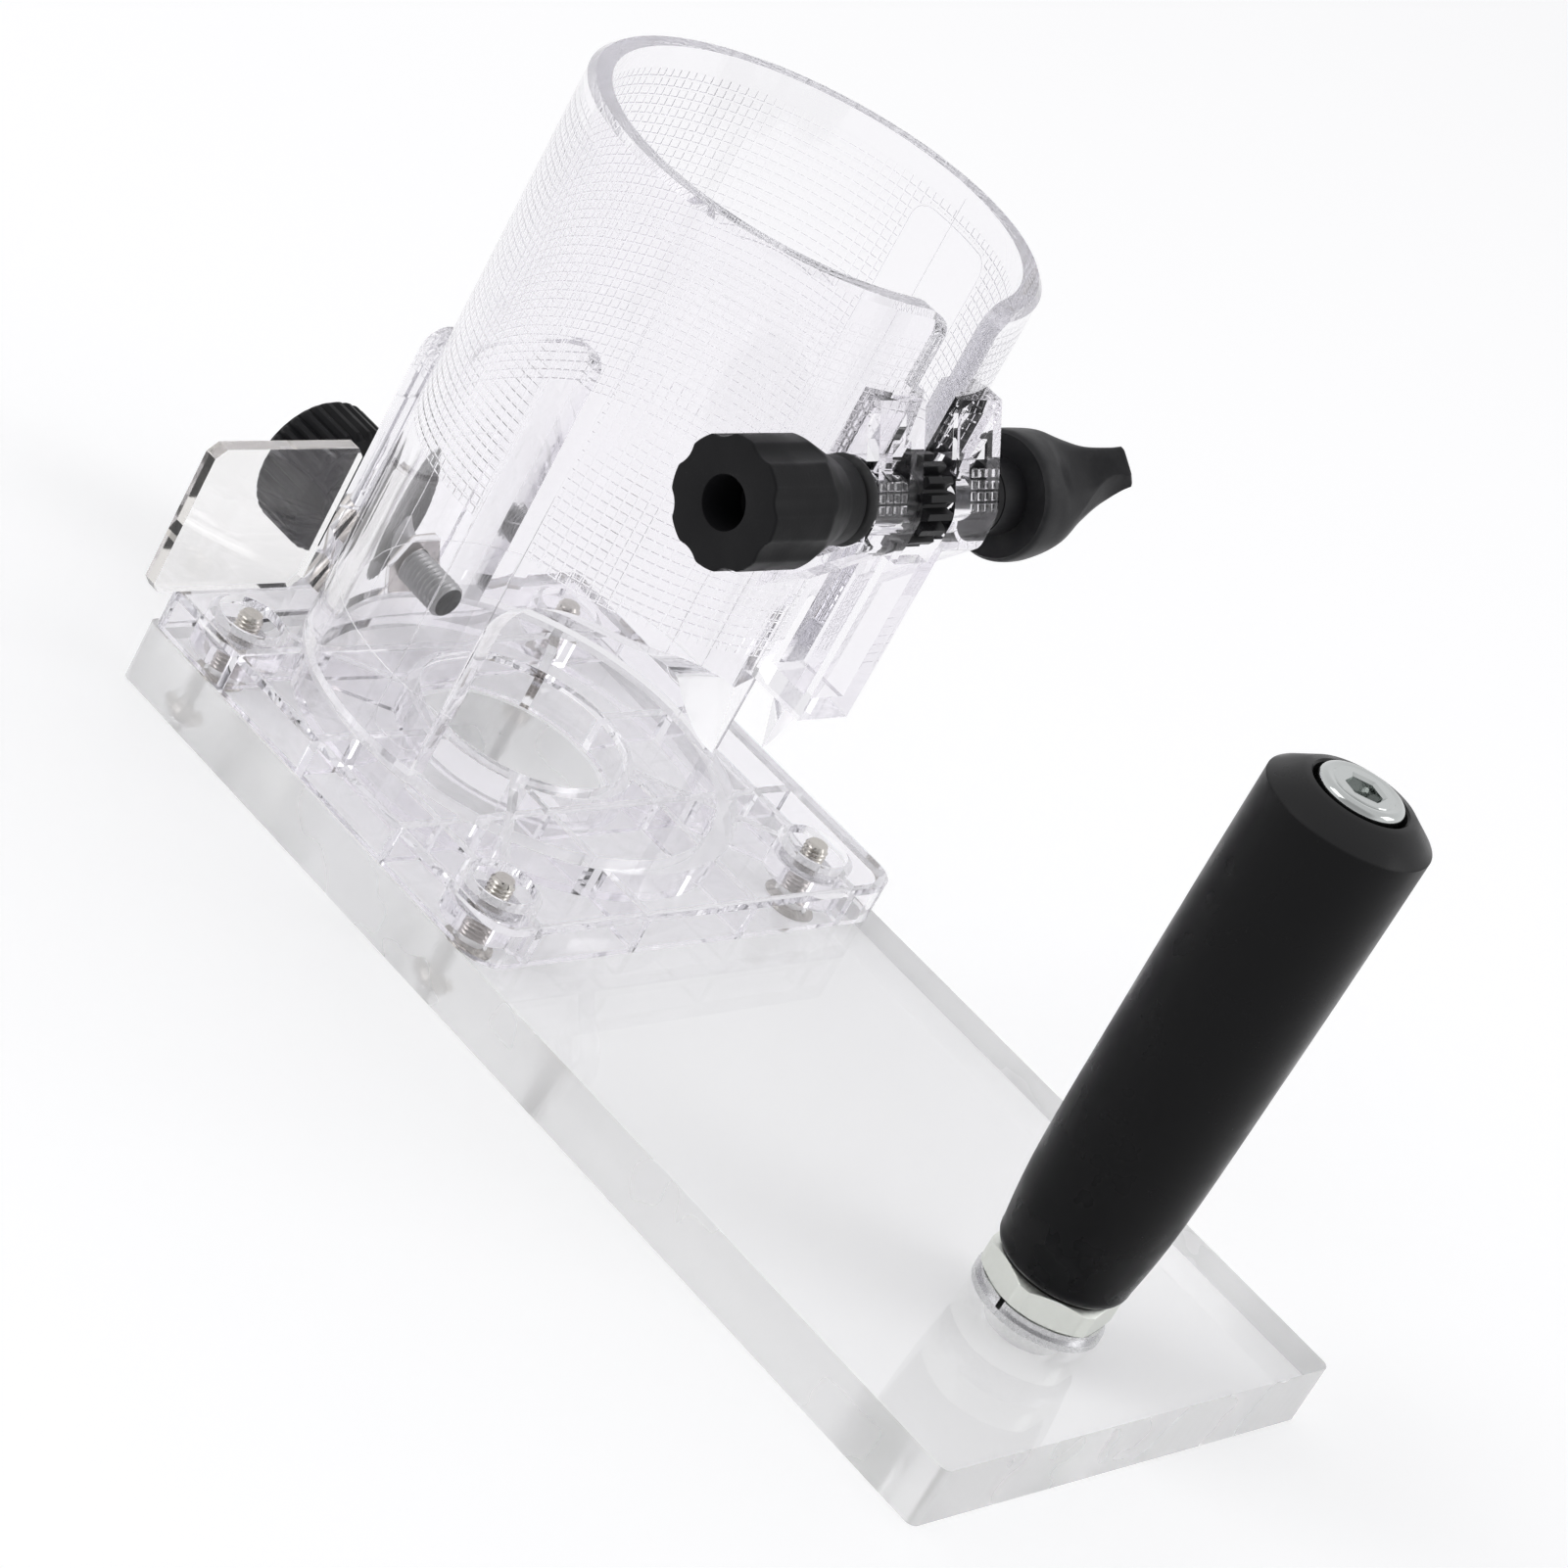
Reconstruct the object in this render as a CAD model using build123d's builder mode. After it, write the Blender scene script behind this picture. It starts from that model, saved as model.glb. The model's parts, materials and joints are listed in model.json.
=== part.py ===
from build123d import *
import math
import os

os.makedirs("parts", exist_ok=True)

# Trim router base on a clear plate. All lengths are in millimetres.
# The origin lies on the axis of the motor tube, on the sole under the plate.
# +X runs along the plate to the handle, +Y away from the star knob, +Z up.

# Motor tube
motor_diameter = 65.0
tube_wall = 3.5
rim_height = 115.0
rim_bevel = 0.9
slot_half = 5.7
slot_flare = 4.0
slot_depth = 12.4
leg_x = 10.5
arch_height = 52.2
arch_back_round = 10.0
arch_front_round = 4.0
arch_front_x = 31.0
lip_tip_height = 37.5
relief_height = 10.0
relief_depth = 0.4

# Clear plate
plate_length = 183.0
plate_width = 90.0
plate_thickness = 10.0
plate_corner = 1.5
bit_hole_radius = 16.0

# Moulded flange
flange_inset = 0.5
flange_front = 45.0
flange_height = 7.0
flange_front_corner = 5.0
flange_back_corner = 2.0
flange_wall = 1.8
deck_thickness = 2.0
rib_width = 1.5
deck_hole_radius = 17.0
deck_ring_width = 1.6
front_rib_y = 12.0
side_rib_x = 20.0

# Corner screws
screw_inset_back = 8.7
screw_inset_front = 10.5
screw_inset_side = 9.5
screw_radius = 2.0
screw_stand = 0.5
screw_head_radius = 4.0
screw_head_angle = 90
screw_hex_flats = 2.5
screw_hex_depth = 1.4
boss_radius = 6.4
boss_wall = 1.2
boss_floor = 2.6
washer_radius = 4.8
washer_thickness = 0.8

# Clamp housing: two ears with a channel below them
axle_reach = 3.6
axle_drop = 27.8
ear_top_rise = 14.6
ear_top_back = 3.0
ear_front_reach = 6.0
ear_nose_rise = 0.8
ear_chin_drop = 4.7
ear_root_drop = 20.7
ear_inner = 3.7
ear_outer = 13.7
ear_web = 2.4
ear_wall = 2.2
ear_nose_round = 5.0
ear_chin_round = 2.5
ear_back_inset = 0.2
axle_boss_radius = 6.3
ear_window_width = 4.0
ear_window_height = 6.0
ear_window_rise = 7.3
ear_window_round = 0.8
channel_inset = 0.2
channel_half = 5.5
channel_bottom = 52.4
channel_floor = 3.0
channel_wall = 2.0
gap_sill_drop = 7.2

# Flat back of the tube, where an edge guide slides
tower_half = 17.4
tower_top = 63.0
tower_round = 4.0
tower_groove_half = 7.0
tower_groove_depth = 0.6
tower_groove_top = 46.0
tower_groove_round = 1.5

# Thumb screw of the edge guide
thumb_rise = 5.0
thumb_thread_radius = 3.0
thumb_tip_reach = 9.5
thumb_tip_bevel = 0.5
thumb_knob_stand = 12.0
thumb_knob_length = 10.0
thumb_knob_radius = 11.0
thumb_flutes = 32
thumb_flute_depth = 0.7
thumb_collar_radius = 5.0
thumb_collar_length = 2.0
thumb_socket_depth = 7.0
thumb_nut_flats = 10.0
thumb_nut_length = 3.0

# Clear side tab
tab_height = 25.6
tab_thickness = 2.2
tab_overhang = 6.0
tab_tower_gap = 3.1
tab_corner = 1.6

# Pinion and star knob
bolt_radius = 2.5
axle_gap = 0.15
sleeve_radius = 4.0
sleeve_gap = 0.1
sleeve_socket = 7.0
gear_teeth = 16
gear_tip_radius = 6.85
gear_root_radius = 5.35
gear_near = 3.4
gear_far = 2.0
gear_root_tooth = 1.6
gear_tip_tooth = 1.0
gear_turn = 10
knob_gap = 3.3
collar_length = 3.0
knob_cone_length = 5.0
knob_lobe_length = 15.0
knob_radius = 9.35
knob_lobes = 8
knob_scallop_radius = 3.4
knob_scallop_depth = 0.9
knob_turn = 9
collar_radius = 6.3
knob_bore_radius = 3.8
knob_bore_depth = 11.0
friction_ring_radius = 6.0
friction_ring_thickness = 1.5
clip_radius = 5.4
clip_thickness = 1.0
clip_ear_reach = 5.8
clip_ear_width = 1.4
clip_mouth = 2.0

# Clamp bolt and lever
bolt_head_radius = 3.4
bolt_head_length = 3.0
bolt_hex_flats = 3.0
bolt_hex_depth = 1.6
bolt_gap = 0.3
lever_washer_radius = 5.6
lever_washer_thickness = 1.2
lever_slack = 0.3
lever_neck_radius = 5.6
lever_neck_length = 4.8
lever_hub_radius = 9.6
lever_rise = 17.1
lever_reach = 11.5
lever_angle = 56
lever_tilt = 45
lever_corners = 16
lever_square_share = 0.45
lever_rise_shares = (0, 0.07, 0.26, 0.47, 0.64, 0.79, 0.93, 1)
lever_reach_shares = (0, 0, 0.03, 0.19, 0.45, 0.65, 0.88, 1)
lever_half_shares = (0.94, 1, 0.99, 0.89, 0.64, 0.45, 0.34, 0.31)
lever_depth_shares = (0.94, 1, 0.96, 0.74, 0.46, 0.29, 0.2, 0.14)
lever_tilt_shares = (0, 0, 0.1, 0.4, 0.8, 1, 1, 1)
lever_nut_flats = 8.0
lever_nut_length = 4.0
lever_bolt_depth = 7.8

# Handle
handle_inset = 23.5
grip_length = 83.7
grip_base_radius = 10.5
grip_base_bevel = 0.8
grip_low_rise = 15.1
grip_low_radius = 11.65
grip_body_rise = 27.0
grip_body_radius = 12.5
grip_crown_height = 3.0
grip_crown_radius = 8.0
grip_edge_bevel = 0.7
grip_recess_radius = 7.2
grip_recess_depth = 4.0
core_gap = 0.3
stud_radius = 6.0
stud_foot = 1.0
stud_rise = 43.0
stud_tap_depth = 24.0
handle_bolt_radius = 4.0
handle_bolt_length = 52.0
bolt_cap_radius = 6.5
bolt_cap_height = 5.0
bolt_cap_bevel = 0.6
bolt_cap_hex_flats = 5.0
bolt_cap_hex_depth = 2.6
handle_nut_flats = 18.5
handle_nut_height = 4.6
handle_nut_turn = 12
handle_washer_radius = 10.2
handle_washer_thickness = 1.1
spring_washer_radius = 9.6
spring_washer_thickness = 1.2
spring_washer_split = 0.8
spring_washer_skew = 20

# Fits between pieces that stay together
thread_gap = 0.05
cut_overrun = 5.0

# Places of the tube and the flange
motor_radius = motor_diameter / 2
tube_radius = motor_radius + tube_wall
flange_back = tube_radius
plate_back = flange_back + flange_inset
plate_centre_x = plate_length / 2 - plate_back
flange_width = plate_width - 2 * flange_inset
washer_seat = plate_thickness + boss_floor
flange_top = plate_thickness + flange_height
flange_length = flange_front + flange_back
flange_centre_x = (flange_front - flange_back) / 2
slot_step_height = rim_height - slot_depth
screw_top = flange_top + screw_stand
screw_back_x = screw_inset_back - flange_back
screw_front_x = flange_front - screw_inset_front
screw_y = flange_width / 2 - screw_inset_side
screw_places = [(x, y) for x in (screw_back_x, screw_front_x) for y in (-screw_y, screw_y)]

# Width of the side tab, which ends before the flat back of the tube
tab_width = flange_width / 2 + tab_overhang - tower_half - tab_tower_gap

# Places of the clamp
axle_x = tube_radius + axle_reach
axle_z = rim_height - axle_drop
axle_low = Plane(origin=(axle_x, 0, axle_z), x_dir=(1, 0, 0), z_dir=(0, 1, 0))
ear_top = axle_z + ear_top_rise
ear_front = axle_x + ear_front_reach
ear_chin_height = axle_z - ear_chin_drop
ear_back = tube_radius - ear_back_inset
ear_corners = [
    (motor_radius, ear_top),
    (axle_x - ear_top_back, ear_top),
    (ear_front, axle_z + ear_nose_rise),
    (ear_front, ear_chin_height),
    (motor_radius, axle_z - ear_root_drop),
]
channel_front = ear_front - channel_inset
gap_sill_height = axle_z - gap_sill_drop
knob_back_y = -ear_outer - knob_gap
knob_cone_end_y = knob_back_y - collar_length
knob_lobe_end_y = knob_cone_end_y - knob_cone_length
knob_front_y = knob_lobe_end_y - knob_lobe_length
sleeve_start_y = knob_back_y - sleeve_socket
bolt_seat_y = knob_front_y + knob_bore_depth
lever_neck_y = ear_outer + lever_washer_thickness + lever_slack
lever_hub_start = lever_neck_y + lever_neck_length
bolt_end_y = lever_neck_y + lever_bolt_depth
lever_stations = list(
    zip(lever_rise_shares, lever_reach_shares, lever_half_shares, lever_depth_shares, lever_tilt_shares)
)

# Places of the thumb screw
thumb_z = flange_top + thumb_rise
thumb_plane = Plane(origin=(0, 0, thumb_z), x_dir=(0, 1, 0), z_dir=(1, 0, 0))
thumb_tip_x = thumb_tip_reach - motor_radius
thumb_collar_x = -flange_back - thumb_knob_stand
thumb_knob_front_x = thumb_collar_x - thumb_collar_length
thumb_knob_back_x = thumb_knob_front_x - thumb_knob_length

# Places of the handle
handle_x = plate_length - plate_back - handle_inset
handle_axis = Axis((handle_x, 0, 0), (0, 0, 1))
nut_base_z = plate_thickness + handle_washer_thickness + spring_washer_thickness
grip_base_z = nut_base_z + handle_nut_height
grip_top_z = grip_base_z + grip_length
grip_edge_z = grip_top_z - grip_crown_height
stud_top_z = grip_base_z + stud_rise
bolt_seat_z = grip_top_z - grip_recess_depth


def axle_plane(y):
    """The plane square to the clamp's axle at the place y, facing +Y."""
    return axle_low.offset(y)


def thumb_at(x):
    """The plane square to the thumb screw at the place x, facing +X."""
    return thumb_plane.offset(x)


def handle_plane(z):
    """The plane square to the handle's axis at the height z."""
    return Plane(origin=(handle_x, 0, z))


def lever_plane(rise, reach, tilt):
    """The plane of a section of the lever: reach off the axle, rise past the back of the hub, tilted outwards."""
    turn = math.radians(lever_angle)
    out = Vector(math.cos(turn), 0, math.sin(turn))
    along = Vector(0, math.cos(tilt), 0) + out * math.sin(tilt)
    across = Vector(-math.sin(turn), 0, math.cos(turn))
    return Plane(origin=Vector(axle_x, lever_hub_start + rise, axle_z) + out * reach, x_dir=across, z_dir=along)


def lever_section(half, depth, tilt_share):
    """Corners of a section of the lever: round at the hub, squarer towards the tilted tip."""
    power = 1 - lever_square_share * tilt_share
    corners = []
    for step in range(lever_corners):
        wide = math.cos(2 * math.pi * step / lever_corners)
        deep = math.sin(2 * math.pi * step / lever_corners)
        corners.append((
            half * math.copysign(abs(wide) ** power, wide),
            depth * math.copysign(abs(deep) ** power, deep),
        ))
    return corners


# Clear plate: bit opening, four countersunk screw holes and the tapped hole of the handle
with BuildPart() as clear_plate:
    with BuildSketch(Plane.XY):
        with Locations((plate_centre_x, 0)):
            RectangleRounded(plate_length, plate_width, plate_corner)
        Circle(bit_hole_radius, mode=Mode.SUBTRACT)
        with Locations((handle_x, 0)):
            Circle(stud_radius + thread_gap, mode=Mode.SUBTRACT)
    extrude(amount=plate_thickness)
    with Locations(*[Plane(origin=(x, y, 0), z_dir=(0, 0, -1)) for x, y in screw_places]):
        CounterSinkHole(
            radius=screw_radius + thread_gap,
            counter_sink_radius=screw_head_radius + thread_gap,
            depth=plate_thickness,
            counter_sink_angle=screw_head_angle,
        )
clear_plate.part.label = "clear_plate"
export_step(clear_plate.part, "parts/clear_plate.step")


# Moulded flange: a thin deck on a wall, ribs, rings under the tube and round the hole, and screw bosses
with BuildPart() as base_flange:
    with BuildSketch(Plane.XY.offset(plate_thickness)) as flange_outline:
        with Locations((flange_centre_x, 0)):
            Rectangle(flange_length, flange_width)
        fillet(flange_outline.vertices().group_by(Axis.X)[-1], flange_front_corner)
        fillet(flange_outline.vertices().group_by(Axis.X)[0], flange_back_corner)
    extrude(amount=flange_height)
    with BuildSketch(Plane.XY.offset(plate_thickness)) as cells:
        with Locations((flange_centre_x, 0)):
            Rectangle(flange_length - 2 * flange_wall, flange_width - 2 * flange_wall)
        fillet(cells.vertices().group_by(Axis.X)[-1], flange_front_corner - flange_wall)
        Circle(tube_radius, mode=Mode.SUBTRACT)
        Circle(motor_radius)
        with Locations(*[(flange_front / 2, y) for y in (-screw_y, -front_rib_y, front_rib_y, screw_y)]):
            Rectangle(flange_front, rib_width, mode=Mode.SUBTRACT)
        with Locations(*[(x, 0) for x in (-side_rib_x, 0, side_rib_x)]):
            Rectangle(rib_width, flange_width, mode=Mode.SUBTRACT)
        for x, y in screw_places:
            with Locations(Location((x / 2, y / 2), math.degrees(math.atan2(y, x)))):
                Rectangle(math.hypot(x, y), rib_width, mode=Mode.SUBTRACT)
        with Locations(*screw_places):
            Circle(boss_radius, mode=Mode.SUBTRACT)
        Circle(deck_hole_radius + deck_ring_width, mode=Mode.SUBTRACT)
    extrude(amount=flange_height - deck_thickness, mode=Mode.SUBTRACT)
    with BuildSketch(Plane.XY.offset(washer_seat)):
        with Locations(*screw_places):
            Circle(boss_radius - boss_wall)
    extrude(amount=flange_height, mode=Mode.SUBTRACT)
    with BuildSketch(Plane.XY.offset(plate_thickness)):
        Circle(deck_hole_radius)
    extrude(amount=flange_height, mode=Mode.SUBTRACT)
    with BuildSketch(Plane.XY.offset(plate_thickness)):
        with Locations(*screw_places):
            Circle(screw_radius + thread_gap)
    extrude(amount=flange_height, mode=Mode.SUBTRACT)
base_flange.part.label = "base_flange"
export_step(base_flange.part, "parts/base_flange.step")


# Motor tube: split along its front, arched open towards the plate, bevelled rim
with BuildPart() as motor_tube:
    with BuildSketch(Plane.XY.offset(flange_top)):
        Circle(tube_radius)
        Circle(motor_radius, mode=Mode.SUBTRACT)
    extrude(amount=rim_height - flange_top)
    rim = motor_tube.edges().filter_by(GeomType.CIRCLE).group_by(Axis.Z)[-1].sort_by(SortBy.RADIUS)[-1]
    chamfer(rim, rim_bevel)
    with BuildSketch(Plane.YZ.offset(-flange_back)) as tower_face:
        with Locations((0, flange_top)):
            Rectangle(2 * tower_half, tower_top - flange_top, align=(Align.CENTER, Align.MIN))
        fillet(tower_face.vertices().group_by(Axis.Y)[-1], tower_round)
    extrude(amount=flange_back)
    with BuildSketch(Plane.YZ.offset(-flange_back)) as groove:
        with Locations((0, flange_top)):
            Rectangle(2 * tower_groove_half, tower_groove_top - flange_top, align=(Align.CENTER, Align.MIN))
        fillet(groove.vertices().group_by(Axis.Y)[-1], tower_groove_round)
    extrude(amount=tower_groove_depth, mode=Mode.SUBTRACT)
    with BuildSketch(Plane.XY.offset(flange_top)):
        Circle(motor_radius)
    extrude(amount=rim_height - flange_top, mode=Mode.SUBTRACT)
    with BuildSketch(Plane.XY.offset(flange_top)):
        Circle(motor_radius + relief_depth)
    extrude(amount=relief_height, mode=Mode.SUBTRACT)
    with BuildSketch(Plane.YZ) as split_slot:
        with Locations((0, slot_step_height)):
            Rectangle(2 * slot_half, rim_height - slot_step_height, align=(Align.CENTER, Align.MIN))
        with Locations((0, rim_height)):
            Rectangle(2 * tube_radius, slot_flare, align=(Align.CENTER, Align.MIN))
        inner_corners = split_slot.vertices().filter_by(
            lambda v: abs(v.Y - rim_height) < slot_flare / 2 and abs(v.X) < tube_radius / 2
        )
        fillet(inner_corners, slot_flare)
        with Locations((0, flange_top)):
            Rectangle(2 * ear_inner, rim_height - flange_top, align=(Align.CENTER, Align.MIN))
        with Locations((0, flange_top)):
            Rectangle(2 * channel_half, channel_bottom - flange_top, align=(Align.CENTER, Align.MIN))
    extrude(amount=tube_radius + cut_overrun, mode=Mode.SUBTRACT)
    with BuildSketch(Plane.XZ) as arch:
        with BuildLine():
            Polyline(
                (leg_x, flange_top),
                (leg_x, arch_height),
                (arch_front_x, arch_height),
                (tube_radius, lip_tip_height),
                (tube_radius + cut_overrun, lip_tip_height),
                (tube_radius + cut_overrun, flange_top),
                close=True,
            )
        make_face()
        fillet(arch.vertices().group_by(Axis.Y)[-1].sort_by(Axis.X)[0], arch_back_round)
        fillet(arch.vertices().group_by(Axis.Y)[-1].sort_by(Axis.X)[-1], arch_front_round)
    extrude(amount=tube_radius + cut_overrun, both=True, mode=Mode.SUBTRACT)
    with BuildSketch(thumb_at(-flange_back - cut_overrun)):
        Circle(thumb_thread_radius + axle_gap)
    extrude(amount=flange_back, mode=Mode.SUBTRACT)
    with BuildSketch(thumb_at(-flange_back)):
        RegularPolygon(thumb_nut_flats / 2 + thread_gap, 6, major_radius=False)
    extrude(amount=thumb_nut_length, mode=Mode.SUBTRACT)
    with BuildSketch(axle_plane(-ear_outer)):
        Circle(sleeve_radius + axle_gap)
    extrude(amount=ear_outer, mode=Mode.SUBTRACT)
motor_tube.part.label = "motor_tube"
export_step(motor_tube.part, "parts/motor_tube.step")


# Clamp housing: two hollow ears that carry the axle and the channel of the rack below them
with BuildPart() as clamp_housing:
    with BuildSketch(Plane.XZ) as ear_side:
        with BuildLine():
            Polyline(*ear_corners, close=True)
        make_face()
        fillet(ear_side.vertices().group_by(Axis.X)[-1].sort_by(Axis.Y)[-1], ear_nose_round)
        fillet(ear_side.vertices().group_by(Axis.X)[-1].sort_by(Axis.Y)[0], ear_chin_round)
    extrude(amount=ear_outer, both=True)
    with BuildSketch(Plane.XY.offset(channel_bottom)):
        Rectangle(channel_front, 2 * channel_half, align=(Align.MIN, Align.CENTER))
    extrude(amount=ear_chin_height - channel_bottom)
    with BuildSketch(Plane.XZ):
        with BuildLine():
            Polyline(
                (0, channel_bottom + channel_floor),
                (channel_front - channel_wall, channel_bottom + channel_floor),
                (channel_front - channel_wall, gap_sill_height),
                (ear_front + cut_overrun, gap_sill_height),
                (ear_front + cut_overrun, ear_top + cut_overrun),
                (0, ear_top + cut_overrun),
                close=True,
            )
        make_face()
    extrude(amount=ear_inner, both=True, mode=Mode.SUBTRACT)
    with BuildSketch(Plane.XY.offset(flange_top)):
        Circle(tube_radius)
    extrude(amount=rim_height - flange_top, mode=Mode.SUBTRACT)
    for side in (-1, 1):
        with BuildSketch(Plane.XZ.offset(side * (ear_inner + ear_web))):
            with BuildLine():
                Polyline(*ear_corners, close=True)
            make_face()
            offset(amount=-ear_wall)
            with Locations((0, axle_z)):
                Rectangle(2 * ear_back, ear_top, mode=Mode.SUBTRACT)
            with Locations((axle_x, axle_z)):
                Circle(axle_boss_radius, mode=Mode.SUBTRACT)
        extrude(amount=side * ear_outer, mode=Mode.SUBTRACT)
        with BuildSketch(Plane.YZ.offset(axle_x)):
            with Locations((side * (ear_inner + ear_outer) / 2, axle_z + ear_window_rise)):
                RectangleRounded(ear_window_width, ear_window_height, ear_window_round)
        extrude(amount=ear_front, mode=Mode.SUBTRACT)
    with BuildSketch(axle_plane(-ear_outer - cut_overrun)):
        Circle(sleeve_radius + axle_gap)
    extrude(amount=ear_outer + cut_overrun, mode=Mode.SUBTRACT)
    with BuildSketch(axle_plane(0)):
        Circle(bolt_radius + sleeve_gap)
    extrude(amount=ear_outer + cut_overrun, mode=Mode.SUBTRACT)
clamp_housing.part.label = "clamp_housing"
export_step(clamp_housing.part, "parts/clamp_housing.step")


# Captive nut of the thumb screw, flush in the flat back of the tube
with BuildPart() as guide_nut:
    with BuildSketch(thumb_at(-flange_back)):
        RegularPolygon(thumb_nut_flats / 2, 6, major_radius=False)
        Circle(thumb_thread_radius + thread_gap, mode=Mode.SUBTRACT)
    extrude(amount=thumb_nut_length)
guide_nut.part.label = "guide_nut"
export_step(guide_nut.part, "parts/guide_nut.step")


# Thumb screw with its end bevelled
with BuildPart() as thumb_screw:
    with BuildSketch(thumb_at(thumb_collar_x - thumb_socket_depth)):
        Circle(thumb_thread_radius)
    extrude(amount=thumb_tip_x - thumb_collar_x + thumb_socket_depth)
    chamfer(thumb_screw.edges().group_by(Axis.X)[-1], thumb_tip_bevel)
thumb_screw.part.label = "thumb_screw"
export_step(thumb_screw.part, "parts/thumb_screw.step")


# Knurled knob of the thumb screw
with BuildPart() as thumb_knob:
    with BuildSketch(thumb_at(thumb_knob_back_x)):
        Circle(thumb_knob_radius)
    extrude(amount=thumb_knob_length)
    with BuildSketch(thumb_at(thumb_knob_back_x)):
        with PolarLocations(thumb_knob_radius, thumb_flutes):
            RegularPolygon(thumb_flute_depth, 4)
    extrude(amount=thumb_knob_length, mode=Mode.SUBTRACT)
    with BuildSketch(thumb_at(thumb_knob_front_x)):
        Circle(thumb_collar_radius)
    extrude(amount=thumb_collar_length)
    with BuildSketch(thumb_at(thumb_collar_x)):
        Circle(thumb_thread_radius + thread_gap)
    extrude(amount=-thumb_socket_depth, mode=Mode.SUBTRACT)
thumb_knob.part.label = "thumb_knob"
export_step(thumb_knob.part, "parts/thumb_knob.step")


# Clear tab that stands on the back edge of the flange
with BuildPart() as side_tab:
    with BuildSketch(Plane.YZ.offset(-flange_back)) as tab_face:
        with Locations((-flange_width / 2 - tab_overhang, flange_top)):
            Rectangle(tab_width, tab_height, align=(Align.MIN, Align.MIN))
        chamfer(tab_face.vertices(), tab_corner)
    extrude(amount=tab_thickness)
side_tab.part.label = "side_tab"
export_step(side_tab.part, "parts/side_tab.step")


# Four countersunk screws from below, each with a socket in its head
with BuildPart() as corner_screws:
    for x, y in screw_places:
        with BuildSketch(Plane.XZ.offset(-y)):
            with BuildLine():
                Polyline(
                    (x, 0),
                    (x + screw_head_radius, 0),
                    (x + screw_radius, screw_head_radius - screw_radius),
                    (x + screw_radius, screw_top),
                    (x, screw_top),
                    close=True,
                )
            make_face()
        revolve(axis=Axis((x, y, 0), (0, 0, 1)))
    with BuildSketch(Plane.XY):
        with Locations(*screw_places):
            RegularPolygon(screw_hex_flats / 2, 6, major_radius=False)
    extrude(amount=screw_hex_depth, mode=Mode.SUBTRACT)
corner_screws.part.label = "corner_screws"
export_step(corner_screws.part, "parts/corner_screws.step")


# Four washers in the screw bosses
with BuildPart() as corner_washers:
    with BuildSketch(Plane.XY.offset(washer_seat)):
        with Locations(*screw_places):
            Circle(washer_radius)
            Circle(screw_radius + thread_gap, mode=Mode.SUBTRACT)
    extrude(amount=washer_thickness)
corner_washers.part.label = "corner_washers"
export_step(corner_washers.part, "parts/corner_washers.step")


# Pinion with the sleeve that carries it through the near ear into the star knob
with BuildPart() as pinion_gear:
    with BuildSketch(axle_plane(-gear_near)):
        Circle(gear_root_radius)
        with PolarLocations(0, gear_teeth, start_angle=gear_turn):
            Polygon(
                (gear_root_radius - gear_root_tooth, -gear_root_tooth / 2),
                (gear_root_radius, -gear_root_tooth / 2),
                (gear_tip_radius, -gear_tip_tooth / 2),
                (gear_tip_radius, gear_tip_tooth / 2),
                (gear_root_radius, gear_root_tooth / 2),
                (gear_root_radius - gear_root_tooth, gear_root_tooth / 2),
                align=None,
            )
    extrude(amount=gear_near + gear_far)
    with BuildSketch(axle_plane(sleeve_start_y)):
        Circle(sleeve_radius)
    extrude(amount=gear_far - sleeve_start_y)
    with BuildSketch(axle_plane(sleeve_start_y)):
        Circle(bolt_radius + sleeve_gap)
    extrude(amount=gear_far - sleeve_start_y, mode=Mode.SUBTRACT)
pinion_gear.part.label = "pinion_gear"
export_step(pinion_gear.part, "parts/pinion_gear.step")


# Star knob: a turned body with a collar, eight scallops that run out in its cone and a deep hole in its front
with BuildPart() as star_knob:
    with BuildSketch(Plane.XY.offset(axle_z)):
        with BuildLine():
            Polyline(
                (axle_x, knob_front_y),
                (axle_x + knob_radius, knob_front_y),
                (axle_x + knob_radius, knob_lobe_end_y),
                (axle_x + collar_radius, knob_cone_end_y),
                (axle_x + collar_radius, knob_back_y),
                (axle_x, knob_back_y),
                close=True,
            )
        make_face()
    revolve(axis=Axis((axle_x, 0, axle_z), (0, 1, 0)))
    with BuildSketch(axle_plane(knob_front_y)):
        with PolarLocations(knob_radius + knob_scallop_radius - knob_scallop_depth, knob_lobes, knob_turn):
            Circle(knob_scallop_radius)
    extrude(amount=knob_cone_end_y - knob_front_y, mode=Mode.SUBTRACT)
    with BuildSketch(axle_plane(knob_front_y)):
        Circle(knob_bore_radius)
    extrude(amount=knob_bore_depth, mode=Mode.SUBTRACT)
    with BuildSketch(axle_plane(knob_front_y)):
        Circle(bolt_radius + sleeve_gap)
    extrude(amount=knob_back_y - knob_front_y, mode=Mode.SUBTRACT)
    with BuildSketch(axle_plane(sleeve_start_y)):
        Circle(sleeve_radius + thread_gap)
    extrude(amount=knob_back_y - sleeve_start_y, mode=Mode.SUBTRACT)
star_knob.part.label = "star_knob"
export_step(star_knob.part, "parts/star_knob.step")


# Friction ring behind the knob
with BuildPart() as friction_ring:
    with BuildSketch(axle_plane(knob_back_y)):
        Circle(friction_ring_radius)
        Circle(sleeve_radius + thread_gap, mode=Mode.SUBTRACT)
    extrude(amount=friction_ring_thickness)
friction_ring.part.label = "friction_ring"
export_step(friction_ring.part, "parts/friction_ring.step")


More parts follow.
